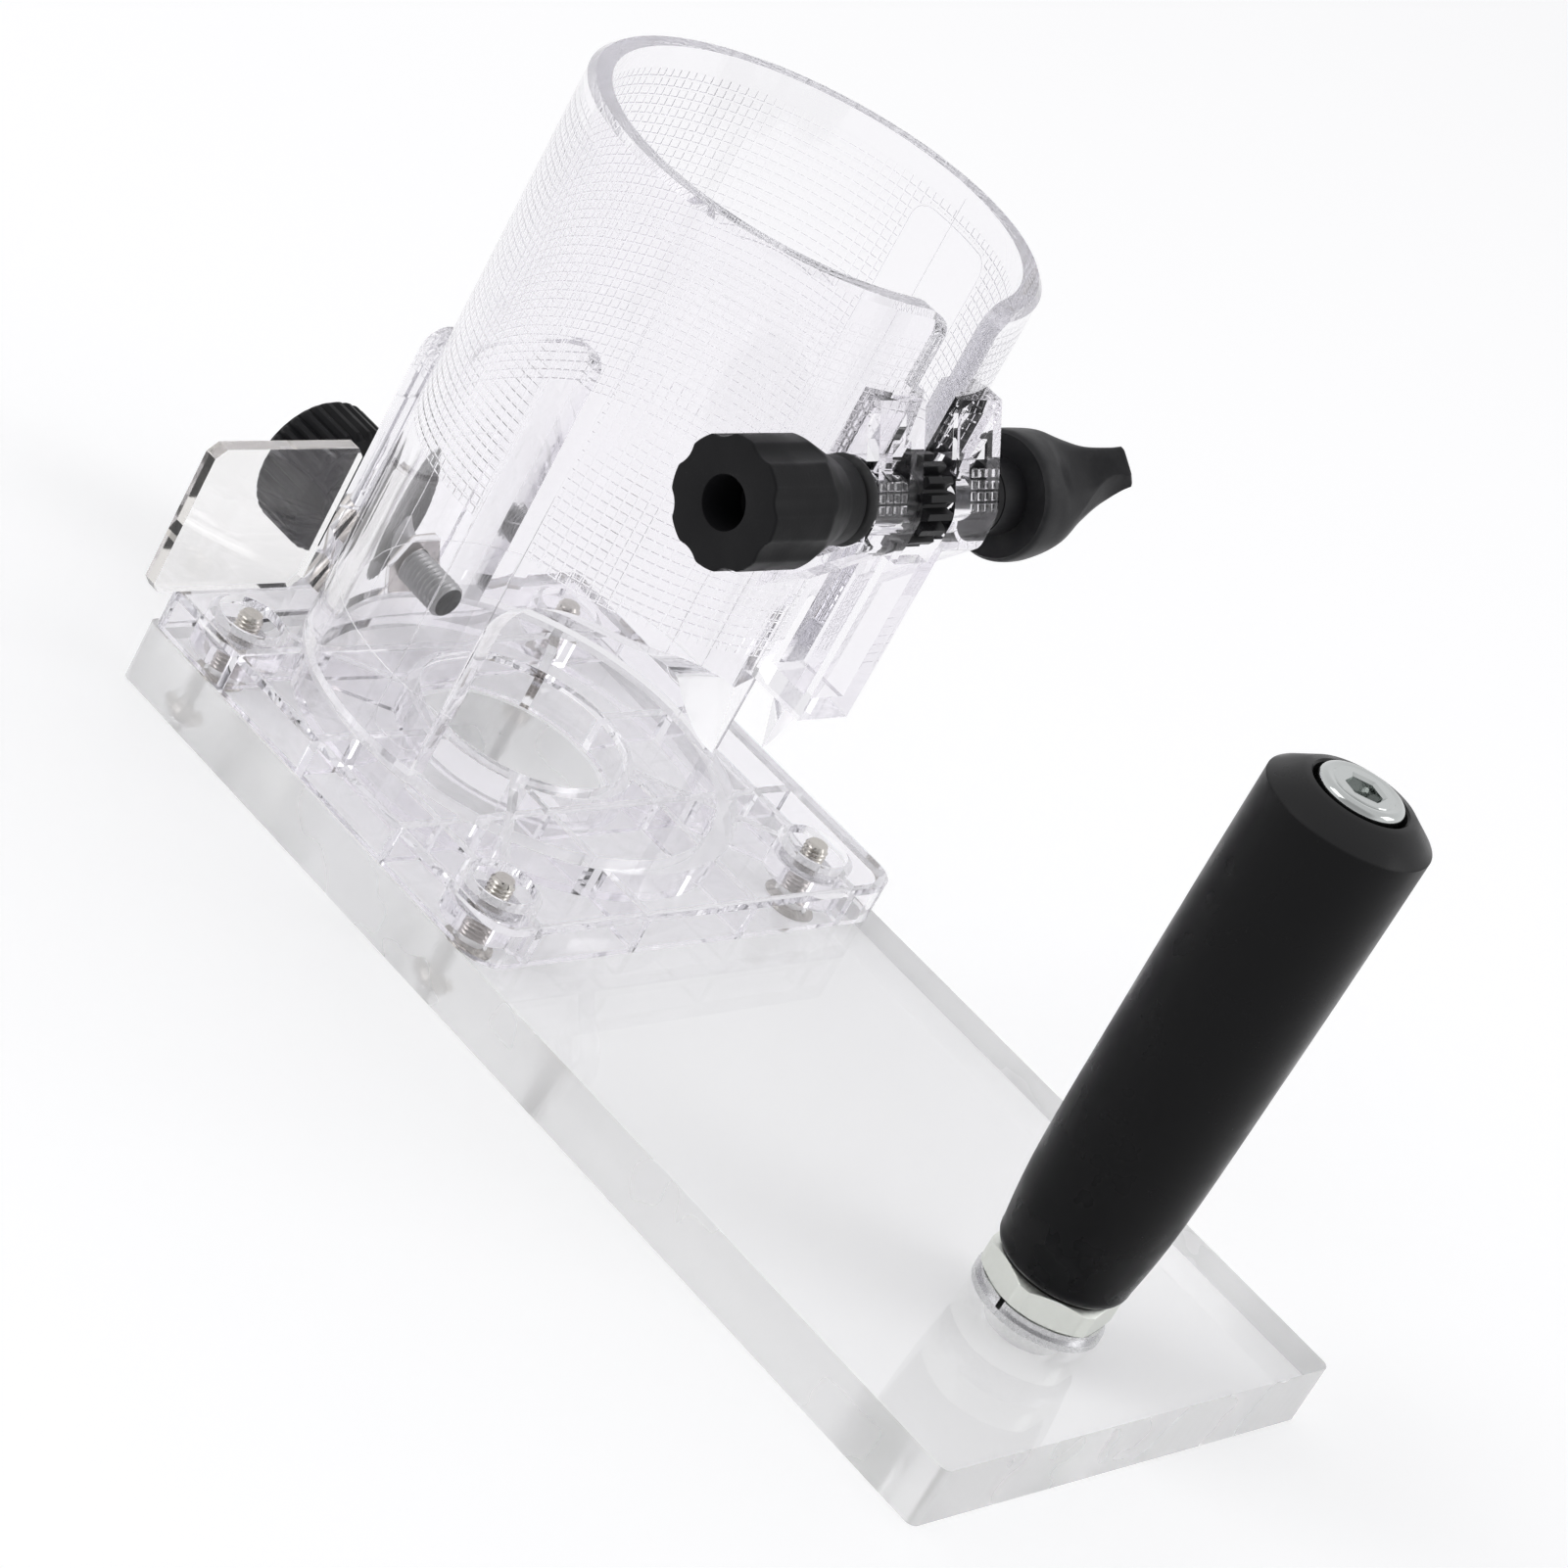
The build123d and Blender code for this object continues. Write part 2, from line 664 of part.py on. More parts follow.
# Open retaining clip with two ears, next to the friction ring
with BuildPart() as retaining_clip:
    with BuildSketch(axle_plane(knob_back_y + friction_ring_thickness)):
        Circle(clip_radius)
        with Locations((0, -clip_ear_reach / 2)):
            with GridLocations(clip_mouth + clip_ear_width, 0, 2, 1):
                Rectangle(clip_ear_width, clip_ear_reach)
        Circle(sleeve_radius + thread_gap, mode=Mode.SUBTRACT)
        with Locations((0, -clip_ear_reach / 2)):
            Rectangle(clip_mouth, clip_ear_reach + clip_ear_width, mode=Mode.SUBTRACT)
    extrude(amount=clip_thickness)
retaining_clip.part.label = "retaining_clip"
export_step(retaining_clip.part, "parts/retaining_clip.step")


# Clamp bolt: its head sits at the bottom of the hole in the star knob
with BuildPart() as clamp_bolt:
    with BuildSketch(axle_plane(bolt_seat_y - bolt_gap)):
        Circle(bolt_head_radius)
        RegularPolygon(bolt_hex_flats / 2, 6, major_radius=False, mode=Mode.SUBTRACT)
    extrude(amount=-bolt_head_length)
    with BuildSketch(axle_plane(bolt_seat_y - bolt_gap)):
        Circle(bolt_head_radius)
    extrude(amount=bolt_hex_depth - bolt_head_length)
    with BuildSketch(axle_plane(bolt_seat_y - bolt_gap)):
        Circle(bolt_radius)
    extrude(amount=bolt_end_y - bolt_seat_y + bolt_gap)
clamp_bolt.part.label = "clamp_bolt"
export_step(clamp_bolt.part, "parts/clamp_bolt.step")


# Washer between the far ear and the wing lever
with BuildPart() as lever_washer:
    with BuildSketch(axle_plane(ear_outer)):
        Circle(lever_washer_radius)
        Circle(bolt_radius + sleeve_gap, mode=Mode.SUBTRACT)
    extrude(amount=lever_washer_thickness)
lever_washer.part.label = "lever_washer"
export_step(lever_washer.part, "parts/lever_washer.step")


# Wing lever: neck and round hub, with one wing that leans outwards
with BuildPart() as wing_lever:
    for rise, reach, half, depth, tilt in lever_stations:
        with BuildSketch(lever_plane(lever_rise * rise, lever_reach * reach, math.radians(lever_tilt * tilt))):
            Polygon(*lever_section(lever_hub_radius * half, lever_hub_radius * depth, tilt), align=None)
    loft(ruled=True)
    with BuildSketch(axle_plane(lever_neck_y)):
        Circle(lever_neck_radius)
    extrude(amount=lever_neck_length)
    with BuildSketch(axle_plane(lever_neck_y)):
        RegularPolygon(lever_nut_flats / 2 + thread_gap, 6, major_radius=False)
    extrude(amount=lever_nut_length, mode=Mode.SUBTRACT)
    with BuildSketch(axle_plane(lever_neck_y)):
        Circle(bolt_radius + axle_gap)
    extrude(amount=bolt_end_y + axle_gap - lever_neck_y, mode=Mode.SUBTRACT)
wing_lever.part.label = "wing_lever"
export_step(wing_lever.part, "parts/wing_lever.step")


# Captive nut in the neck of the lever
with BuildPart() as lever_nut:
    with BuildSketch(axle_plane(lever_neck_y)):
        RegularPolygon(lever_nut_flats / 2, 6, major_radius=False)
        Circle(bolt_radius + thread_gap, mode=Mode.SUBTRACT)
    extrude(amount=lever_nut_length)
lever_nut.part.label = "lever_nut"
export_step(lever_nut.part, "parts/lever_nut.step")


# Washers under the nut of the handle
with BuildPart() as handle_washer:
    with BuildSketch(handle_plane(plate_thickness)):
        Circle(handle_washer_radius)
        Circle(stud_radius + thread_gap, mode=Mode.SUBTRACT)
    extrude(amount=handle_washer_thickness)
handle_washer.part.label = "handle_washer"
export_step(handle_washer.part, "parts/handle_washer.step")


# Split spring washer
with BuildPart() as spring_washer:
    with BuildSketch(handle_plane(plate_thickness + handle_washer_thickness)):
        Circle(spring_washer_radius)
        Circle(stud_radius + thread_gap, mode=Mode.SUBTRACT)
        with Locations((0, -spring_washer_radius)):
            Rectangle(spring_washer_split, spring_washer_radius, rotation=spring_washer_skew, mode=Mode.SUBTRACT)
    extrude(amount=spring_washer_thickness)
spring_washer.part.label = "spring_washer"
export_step(spring_washer.part, "parts/spring_washer.step")


# Lock nut of the handle
with BuildPart() as handle_nut:
    with BuildSketch(handle_plane(nut_base_z)):
        RegularPolygon(handle_nut_flats / 2, 6, major_radius=False, rotation=handle_nut_turn)
    extrude(amount=handle_nut_height)
    with BuildSketch(handle_plane(nut_base_z)):
        Circle(stud_radius + thread_gap)
    extrude(amount=handle_nut_height, mode=Mode.SUBTRACT)
handle_nut.part.label = "handle_nut"
export_step(handle_nut.part, "parts/handle_nut.step")


# Stud of the handle: screwed into the plate, tapped at its top for the handle bolt
with BuildPart() as handle_stud:
    with BuildSketch(handle_plane(stud_foot)):
        Circle(stud_radius)
    extrude(amount=stud_top_z - stud_foot)
    with BuildSketch(handle_plane(stud_top_z)):
        Circle(handle_bolt_radius + thread_gap)
    extrude(amount=-stud_tap_depth, mode=Mode.SUBTRACT)
handle_stud.part.label = "handle_stud"
export_step(handle_stud.part, "parts/handle_stud.step")


# Turned grip of the handle with a recess in its crown
with BuildPart() as handle_grip:
    with BuildSketch(Plane.XZ):
        with BuildLine():
            Polyline(
                (handle_x, grip_base_z),
                (handle_x + grip_base_radius - grip_base_bevel, grip_base_z),
                (handle_x + grip_base_radius, grip_base_z + grip_base_bevel),
                (handle_x + grip_low_radius, grip_base_z + grip_low_rise),
                (handle_x + grip_body_radius, grip_base_z + grip_body_rise),
                (handle_x + grip_body_radius, grip_edge_z - grip_edge_bevel),
                (handle_x + grip_body_radius - grip_edge_bevel, grip_edge_z),
                (handle_x + grip_crown_radius, grip_top_z),
                (handle_x, grip_top_z),
                close=True,
            )
        make_face()
    revolve(axis=handle_axis)
    with BuildSketch(handle_plane(grip_top_z)):
        Circle(grip_recess_radius)
    extrude(amount=-grip_recess_depth, mode=Mode.SUBTRACT)
    with BuildSketch(handle_plane(grip_base_z)):
        Circle(stud_radius + core_gap)
    extrude(amount=stud_top_z + core_gap - grip_base_z, mode=Mode.SUBTRACT)
    with BuildSketch(handle_plane(grip_base_z)):
        Circle(handle_bolt_radius + core_gap)
    extrude(amount=grip_top_z - grip_base_z, mode=Mode.SUBTRACT)
handle_grip.part.label = "handle_grip"
export_step(handle_grip.part, "parts/handle_grip.step")


# Low socket bolt that holds the grip on the stud
with BuildPart() as handle_bolt:
    with BuildSketch(handle_plane(bolt_seat_z)):
        Circle(bolt_cap_radius)
    extrude(amount=bolt_cap_height)
    chamfer(handle_bolt.edges().group_by(Axis.Z)[-1], bolt_cap_bevel)
    with BuildSketch(handle_plane(bolt_seat_z + bolt_cap_height)):
        RegularPolygon(bolt_cap_hex_flats / 2, 6, major_radius=False)
    extrude(amount=-bolt_cap_hex_depth, mode=Mode.SUBTRACT)
    with BuildSketch(handle_plane(bolt_seat_z)):
        Circle(handle_bolt_radius)
    extrude(amount=-handle_bolt_length)
handle_bolt.part.label = "handle_bolt"
export_step(handle_bolt.part, "parts/handle_bolt.step")
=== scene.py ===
import json
import math

import bpy
import numpy as np
from mathutils import Matrix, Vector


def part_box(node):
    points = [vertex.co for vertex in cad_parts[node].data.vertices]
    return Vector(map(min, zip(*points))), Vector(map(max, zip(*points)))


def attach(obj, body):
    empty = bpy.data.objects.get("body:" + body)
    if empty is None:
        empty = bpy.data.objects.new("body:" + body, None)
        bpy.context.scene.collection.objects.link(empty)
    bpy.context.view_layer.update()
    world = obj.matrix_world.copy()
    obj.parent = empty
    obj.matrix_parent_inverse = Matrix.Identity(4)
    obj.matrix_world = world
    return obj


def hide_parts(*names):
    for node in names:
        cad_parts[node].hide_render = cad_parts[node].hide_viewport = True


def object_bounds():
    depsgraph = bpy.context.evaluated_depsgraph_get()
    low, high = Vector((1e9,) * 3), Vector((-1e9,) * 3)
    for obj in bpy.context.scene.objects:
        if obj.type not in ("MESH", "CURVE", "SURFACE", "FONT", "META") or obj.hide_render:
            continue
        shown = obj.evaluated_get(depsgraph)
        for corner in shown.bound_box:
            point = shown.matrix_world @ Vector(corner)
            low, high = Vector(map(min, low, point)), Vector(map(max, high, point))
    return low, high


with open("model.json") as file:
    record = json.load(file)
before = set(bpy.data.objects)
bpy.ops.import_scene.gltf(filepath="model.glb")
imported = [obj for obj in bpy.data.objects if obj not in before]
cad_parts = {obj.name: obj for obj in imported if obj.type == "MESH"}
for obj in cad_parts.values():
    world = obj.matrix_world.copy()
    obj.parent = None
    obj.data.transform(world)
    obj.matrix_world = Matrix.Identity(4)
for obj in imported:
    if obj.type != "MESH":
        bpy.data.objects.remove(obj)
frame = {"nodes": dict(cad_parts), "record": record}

cad_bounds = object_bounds()

# Camera: where the picture was taken from, in metres, and the directions of its sides
camera_place = (0.381455, -0.547529, 0.350507)
camera_right = (0.6261814, 0.6381658, 0.4479300)
camera_up = (-0.6211817, 0.0611353, 0.7812783)
camera_back = (0.4712008, -0.7674678, 0.4346987)
focal_pixels = 5071.5
picture_pixels = 1601
sensor_mm = 36.0

# Dim part of the studio: cosines of the angles from the camera's back where it starts and where it is full
dim_from = 0.5
dim_to = 0.85
dim_share = 0.6

# Studio: heights between which the sky darkens, its levels there, and the floor's paper
sky_from = 0.1
sky_to = 0.9
sky_level = 0.935
sky_top_level = 0.81
sky_colour = (0.985, 0.985, 1.0, 1)
floor_grey = 0.93
floor_glow = 0.17
light_bounces = 32

# Lamps: name, place and side of the square in metres, power in watts
lamps = (
    ("key_lamp", (-0.5, -0.9, 1.1), 0.8, 3.4),
    ("rim_lamp", (0.9, 0.7, 0.8), 0.6, 1.8),
)

# Sizes of what is added, in metres
mm = 0.001
floor_reach = 6.0
contact_gap = 0.01 * mm
clear_nodes = ("clear_plate", "base_flange", "motor_tube", "clamp_housing", "side_tab")
axle_place = (39.6 * mm, 0, 87.2 * mm)

# Share of an end's radius at which the fan of faces that closes it starts
core_share = 0.3

# Relief of the finishes
saw_mark_depth = 0.05 * mm
flow_wave_depth = 0.03 * mm
nylon_grain = 0.01 * mm
satin_grain = 0.006 * mm
knob_grain = 0.02 * mm
tool_mark_depth = 0.02 * mm
rod_mark_depth = 0.03 * mm
rod_end_length = 0.02 * mm

# Clear plastics: how strongly they bend light, and the tint of the light behind them
sheet_bend = 1.45
moulding_bend = 1.38
ear_bend = 1.22
clear_roughness = 0.02
shadow_tint = (0.96, 0.96, 0.965)
sawn_milk_share = 0.45

# Handle: stations of the barrel as shares of its widest radius and of its length
grip_radius_shares = (0.822, 0.878, 0.917, 0.942, 0.96, 0.978, 0.992, 1)
grip_height_shares = (0.03, 0.1, 0.18, 0.3, 0.45, 0.62, 0.8, 0.962)
grip_foot_round = 2.2 * mm
grip_crown_share = 0.69
grip_recess_share = 0.57
grip_pale_from = 97.3 * mm
grip_pale_fade = 0.4 * mm
grip_shoulder = 0.25 * mm
grip_crown_rise_share = 0.93
grip_recess_bevel = 0.3 * mm
grip_recess_depth = 4.0 * mm
nut_flats = 18.5 * mm
nut_turn = 12
nut_bevel = 0.6 * mm
nut_hole = 6.05 * mm
nut_face_share = 0.985
nut_cone_slope = 1.75
cap_height = 5.0 * mm
cap_foot_bevel = 0.2 * mm
cap_rim_round = 1.1 * mm
cap_ring_shares = (0.76, 0.72, 0.7)
cap_ring_sink = 0.12 * mm
cap_mouth_bevel = 0.5 * mm
cap_mouth_depth = 0.4 * mm
cap_socket_flats = 5.0 * mm
cap_socket_depth = 2.6 * mm
cap_drill_share = 0.25
cap_drill_depth = 0.5 * mm
shank_radius = 4.0 * mm

# Star knob
knob_radius = 9.5 * mm
knob_lobes = 8
knob_scallop_radius = 4.2 * mm
knob_scallop_depth = 0.65 * mm
knob_softness = 0.08 * mm
knob_bore_radius = 3.8 * mm
knob_bore_depth = 11.0 * mm
knob_core_share = 0.4
knob_mouth_depth = 0.3 * mm
knob_mouth_break = 0.08 * mm
knob_mouth_round = 0.35 * mm
knob_edge_round = 0.3 * mm
knob_cone_start = 12.2 * mm
knob_cone_end = 20.0 * mm
knob_cone_slope = 0.42
knob_turn = 9
ring_length = 3.1 * mm
ring_radius = 6.5 * mm
ring_bead = 1.0 * mm
ring_groove = 5.5 * mm
ring_bore = 4.1 * mm
ring_bead_shift = 0.3 * mm
knob_collar_radius = 6.3 * mm
knob_collar_bevel = 0.3 * mm

# Thumb screw: its knob's profile as places from the wheel's ends, shares of its radius and of its flutes
thumb_flutes = 32
thumb_flute_depth = 0.7 * mm
thumb_flute_narrow = 1.6
thumb_flute_curve = 0.8
thumb_wheel_length = 10.0 * mm
thumb_front_shares = (
    (0, 0.55, 0), (0, 0.9, 0), (0.25 * mm, 0.935, 0.1), (0.9 * mm, 0.985, 1), (1.3 * mm, 1, 1),
)
thumb_back_shares = ((1.1 * mm, 1, 1), (0.6 * mm, 0.975, 1), (0, 0.92, 0.1), (0, 0.88, 0))
thumb_collar_share = 0.455
thumb_collar_end_share = 0.95
thumb_collar_bevel = 0.2 * mm
screw_pitch = 1.0 * mm
thread_depth = 0.55 * mm

# Corner screws
corner_head_radius = 4.0 * mm
corner_edge_bevel = 0.15 * mm
corner_edge_height = 0.2 * mm
corner_neck = 0.3 * mm
corner_shank_radius = 2.0 * mm
corner_tip_height = 0.5 * mm
corner_tip_bevel = 0.45 * mm
corner_pitch = 0.7 * mm
corner_thread_depth = 0.4 * mm
corner_socket_flats = 2.5 * mm
corner_socket_depth = 1.4 * mm

# Clamp lever: shares of its rise past the hub's back, of its reach and of its hub's radius
lever_hub_radius = 9.6 * mm
lever_neck = 4.8 * mm
lever_neck_radius = 5.6 * mm
lever_rise = 17.1 * mm
lever_reach = 11.5 * mm
lever_angle = 56
lever_tilt = 45
lever_square_share = 0.45
lever_rise_shares = (0, 0.07, 0.26, 0.47, 0.64, 0.79, 0.93, 1)
lever_reach_shares = (0, 0, 0.03, 0.19, 0.45, 0.65, 0.88, 1)
lever_half_shares = (0.94, 1, 0.99, 0.89, 0.64, 0.45, 0.34, 0.31)
lever_depth_shares = (0.94, 1, 0.96, 0.74, 0.46, 0.29, 0.2, 0.14)
lever_tilt_shares = (0, 0, 0.1, 0.4, 0.8, 1, 1, 1)
lever_scoop_angle = 35
lever_scoop_depth = 1.3 * mm
lever_scoop_place = 0.82
lever_scoop_spread = 0.22
lever_joint_gap = 0.3 * mm
lever_tip_length = 0.25 * mm
lever_tip_share = 0.86

# Moulded squares on the clear plastic: pitch, groove between them, share of it that is flat, and height
stud_pitch = 1.6 * mm
stud_groove = 0.3 * mm
stud_floor_share = 0.3
stud_height = 0.09 * mm
tube_skin = 35.4 * mm
tube_radius = 36.0 * mm
tube_studs = (56.0 * mm, 110.5 * mm)
lines_top = 112.5 * mm
line_height = 0.07 * mm
line_width = 0.16 * mm
line_crest_share = 0.3
panel_round = 3.0 * mm
panel_margin = 0.4 * mm
near_panel = (-88, -73, 20.0 * mm, 107.5 * mm)
far_panel = (70.5, 99.6, 20.0 * mm, 108.0 * mm)
parting_angle = 88

# Squares that stand on the ears: their width, top width and height, and the corners of the fields they fill
ear_stud_width = 1.3 * mm
ear_stud_top = 1.0 * mm
ear_stud_height = 0.35 * mm
nose_foot = (45.35 * mm, 88.4 * mm)
nose_rise = (-0.546, 0.8375)
nose_columns = (7.9 * mm, 9.5 * mm, 11.1 * mm, 12.7 * mm)
nose_rows = (0.8 * mm, 2.45 * mm, 4.1 * mm, 5.75 * mm)
near_nose_rows = nose_rows[:3]
flank_side = 13.7 * mm
flank_columns = (34.3 * mm, 35.9 * mm)
flank_rows = (91.9 * mm, 93.5 * mm, 95.1 * mm, 96.7 * mm, 98.3 * mm, 99.9 * mm)


def smooth_range(tree, source, low, high, low_value, high_value):
    """A value that runs smoothly from low_value to high_value while source runs from low to high."""
    made = tree.nodes.new("ShaderNodeMapRange")
    made.interpolation_type = "SMOOTHSTEP"
    limits = (("From Min", low), ("From Max", high), ("To Min", low_value), ("To Max", high_value))
    for key, value in limits:
        made.inputs[key].default_value = value
    tree.links.new(source, made.inputs["Value"])
    return made.outputs["Result"]


class Finish:
    """A material under construction: short calls for the nodes that the finishes below share."""

    def __init__(self, name):
        self.material = bpy.data.materials.new(name)
        self.material.use_nodes = True
        self.tree = self.material.node_tree
        self.tree.nodes.clear()
        self.output = self.tree.nodes.new("ShaderNodeOutputMaterial")
        self.shader = self.tree.nodes.new("ShaderNodeBsdfPrincipled")
        self.join(self.shader, "BSDF", self.output, "Surface")

    def node(self, kind, **settings):
        """A new node of this kind with its settings."""
        made = self.tree.nodes.new("ShaderNode" + kind)
        for key, value in settings.items():
            setattr(made, key, value)
        return made

    def join(self, source, out, target, into):
        """A link from one node's output to another's input."""
        self.tree.links.new(source.outputs[out], target.inputs[into])

    def set(self, **sockets):
        """Plain values on the shader's own sockets, with spaces for underscores."""
        for key, value in sockets.items():
            self.shader.inputs[key.replace("_", " ")].default_value = value

    def place(self):
        """The object's own coordinates, in metres."""
        found = self.tree.nodes.get("place")
        if found is None:
            found = self.node("TexCoord", name="place")
        return found

    def axes(self):
        """The object's own X, Y and Z, in metres."""
        split = self.node("SeparateXYZ")
        self.join(self.place(), "Object", split, "Vector")
        return split.outputs["X"], split.outputs["Y"], split.outputs["Z"]

    def math(self, operation, first, second=None, third=None):
        """A math node on sockets or plain numbers."""
        made = self.node("Math", operation=operation)
        for slot, value in enumerate((first, second, third)):
            if value is None:
                continue
            if isinstance(value, (int, float)):
                made.inputs[slot].default_value = value
            else:
                self.tree.links.new(value, made.inputs[slot])
        return made.outputs[0]

    def noise(self, scale, detail=2.0, rough=0.5, stretch=None):
        """Noise on the object's coordinates, with scale in turns a metre."""
        made = self.node("TexNoise")
        made.inputs["Scale"].default_value = scale
        made.inputs["Detail"].default_value = detail
        made.inputs["Roughness"].default_value = rough
        if stretch is None:
            self.join(self.place(), "Object", made, "Vector")
        else:
            turn = self.node("Mapping")
            turn.inputs["Scale"].default_value = stretch
            self.join(self.place(), "Object", turn, "Vector")
            self.join(turn, "Vector", made, "Vector")
        return made.outputs["Fac"]

    def ramp(self, source, low, high, low_value, high_value):
        """A smooth range of this material."""
        return smooth_range(self.tree, source, low, high, low_value, high_value)

    def tint(self, source, low_colour, high_colour):
        """Base colour that mixes two colours by a value."""
        made = self.node("Mix", data_type="RGBA")
        made.inputs["A"].default_value = (*low_colour, 1)
        made.inputs["B"].default_value = (*high_colour, 1)
        self.tree.links.new(source, made.inputs["Factor"])
        self.tree.links.new(made.outputs["Result"], self.shader.inputs["Base Color"])

    def rough(self, source):
        """Roughness that follows a value."""
        self.tree.links.new(source, self.shader.inputs["Roughness"])

    def bump(self, height, distance, strength=1.0):
        """Relief from a height, where a height of 1 stands for the distance in metres."""
        made = self.node("Bump")
        made.inputs["Distance"].default_value = distance
        made.inputs["Strength"].default_value = strength
        self.tree.links.new(height, made.inputs["Height"])
        self.join(made, "Normal", self.shader, "Normal")

    def let_lamps_through(self, tint):
        """Shadow rays pass the clear plastic with this tint instead of leaving a solid shadow."""
        path = self.node("LightPath")
        clear = self.node("BsdfTransparent")
        clear.inputs["Color"].default_value = (*tint, 1)
        mix = self.node("MixShader")
        self.join(path, "Is Shadow Ray", mix, 0)
        self.join(self.shader, "BSDF", mix, 1)
        self.join(clear, "BSDF", mix, 2)
        self.join(mix, "Shader", self.output, "Surface")


def clear_finish(name, tint, depth_tint, density, bend=sheet_bend):
    """Clear plastic: light passes and bends, with a faint tint at each surface and more of it along a long
    way inside."""
    finish = Finish(name)
    finish.set(Base_Color=(*tint, 1), Roughness=clear_roughness, IOR=bend, Transmission_Weight=1.0)
    finish.let_lamps_through(shadow_tint)
    inside = finish.node("VolumeAbsorption")
    inside.inputs["Color"].default_value = (*depth_tint, 1)
    inside.inputs["Density"].default_value = density
    finish.join(inside, "Volume", finish.output, "Volume")
    return finish


def acrylic_sheet():
    """Thick clear sheet of the plate: polished faces, and milky sawn edges with fine upright marks that blur
    what lies behind them."""
    finish = clear_finish("acrylic_sheet", (0.95, 0.95, 0.953), (0.86, 0.85, 0.84), 4)
    face = finish.node("NewGeometry")
    split = finish.node("SeparateXYZ")
    finish.join(face, "True Normal", split, "Vector")
    flat = finish.math("ABSOLUTE", split.outputs["Z"])
    sawn = finish.ramp(flat, 0.2, 0.8, 1.0, 0.0)
    marks = finish.noise(900, 3, 0.6, stretch=(1, 1, 0.12))
    worn = finish.ramp(finish.noise(60, 2), 0.35, 0.7, 0.12, 0.3)
    finish.rough(finish.math("MULTIPLY_ADD", sawn, worn, 0.012))
    through = finish.math("MULTIPLY_ADD", sawn, -sawn_milk_share, 1.0)
    finish.tree.links.new(through, finish.shader.inputs["Transmission Weight"])
    finish.bump(finish.math("MULTIPLY", sawn, marks), saw_mark_depth, 0.6)
    return finish.material


def warm_acrylic():
    """Small sheet with a warm tint at its cut edges."""
    return clear_finish("warm_acrylic", (0.95, 0.945, 0.94), (0.75, 0.7, 0.62), 12).material


def studs(finish, across, along):
    """Height of moulded squares, 1 on top and 0 in the grooves, from two lengths in metres."""
    edge = []
    for length in (across, along):
        part = finish.math("FRACT", finish.math("DIVIDE", length, stud_pitch))
        edge.append(finish.math("ABSOLUTE", finish.math("SUBTRACT", part, 0.5)))
    nearest = finish.math("MAXIMUM", *edge)
    groove = stud_groove / stud_pitch
    return finish.ramp(nearest, 0.5 - groove, 0.5 - stud_floor_share * groove, 1.0, 0.0)


def between(finish, value, low, high):
    """1 where a value lies between two limits, otherwise 0."""
    above = finish.math("GREATER_THAN", value, low)
    return finish.math("MULTIPLY", above, finish.math("LESS_THAN", value, high))


def rounded_panel(finish, angle, height, panel):
    """Signed distance from the rim of a smooth panel on the tube: the distance past the straight sides of a
    rectangle of angle and height, less the radius of its rounded corners."""
    start, end, low, high = panel
    half_arc = math.radians(end - start) / 2 * tube_radius
    middle = math.radians(start + end) / 2
    arc = finish.math("MULTIPLY", finish.math("SUBTRACT", angle, middle), tube_radius)
    rise = finish.math("SUBTRACT", height, (low + high) / 2)
    past = []
    for value, half in ((arc, half_arc), (rise, (high - low) / 2)):
        beyond = finish.math("SUBTRACT", finish.math("ABSOLUTE", value), half - panel_round)
        past.append(finish.math("MAXIMUM", beyond, 0.0))
    squares = [finish.math("MULTIPLY", value, value) for value in past]
    return finish.math("SUBTRACT", finish.math("SQRT", finish.math("ADD", *squares)), panel_round)


def moulded_clear(name="moulded_clear", relief=None, bend=moulding_bend):
    """Injection-moulded clear plastic with faint flow waves, and with moulded relief where it has some."""
    finish = clear_finish(name, (0.965, 0.958, 0.972), (0.74, 0.73, 0.79), 6, bend)
    waves = finish.math("MULTIPLY", finish.noise(70, 2, 0.5), flow_wave_depth)
    if relief is not None:
        waves = finish.math("ADD", waves, relief(finish))
    finish.bump(waves, 1.0)
    return finish.material


def tube_relief(finish):
    """Relief of the tube's outside, in metres: a mesh of fine squares round its upper part, two smooth panels
    with a thin outline and two parting lines."""
    east, north, height = finish.axes()
    angle = finish.math("ARCTAN2", north, east)
    arc = finish.math("MULTIPLY", angle, tube_radius)
    squared = [finish.math("MULTIPLY", value, value) for value in (east, north)]
    reach = finish.math("SQRT", finish.math("ADD", *squared))
    outside = finish.math("GREATER_THAN", reach, tube_skin)
    meshed = finish.math("MULTIPLY", outside, between(finish, height, *tube_studs))
    crest = line_crest_share * line_width
    lines = 0.0
    for panel in (near_panel, far_panel):
        rim = rounded_panel(finish, angle, height, panel)
        meshed = finish.math("MULTIPLY", meshed, finish.math("GREATER_THAN", rim, panel_margin))
        line = finish.ramp(finish.math("ABSOLUTE", rim), crest, line_width, line_height, 0.0)
        lines = finish.math("ADD", line, lines)
    off = finish.math("SUBTRACT", finish.math("ABSOLUTE", angle), math.radians(parting_angle))
    parting = finish.math("ABSOLUTE", finish.math("MULTIPLY", off, tube_radius))
    lines = finish.math("ADD", finish.ramp(parting, crest, line_width, line_height, 0.0), lines)
    squares = finish.math("MULTIPLY", studs(finish, arc, height), stud_height)
    below_rim = finish.math("MULTIPLY", outside, finish.math("LESS_THAN", height, lines_top))
    squares = finish.math("MULTIPLY", squares, meshed)
    return finish.math("ADD", squares, finish.math("MULTIPLY", lines, below_rim))


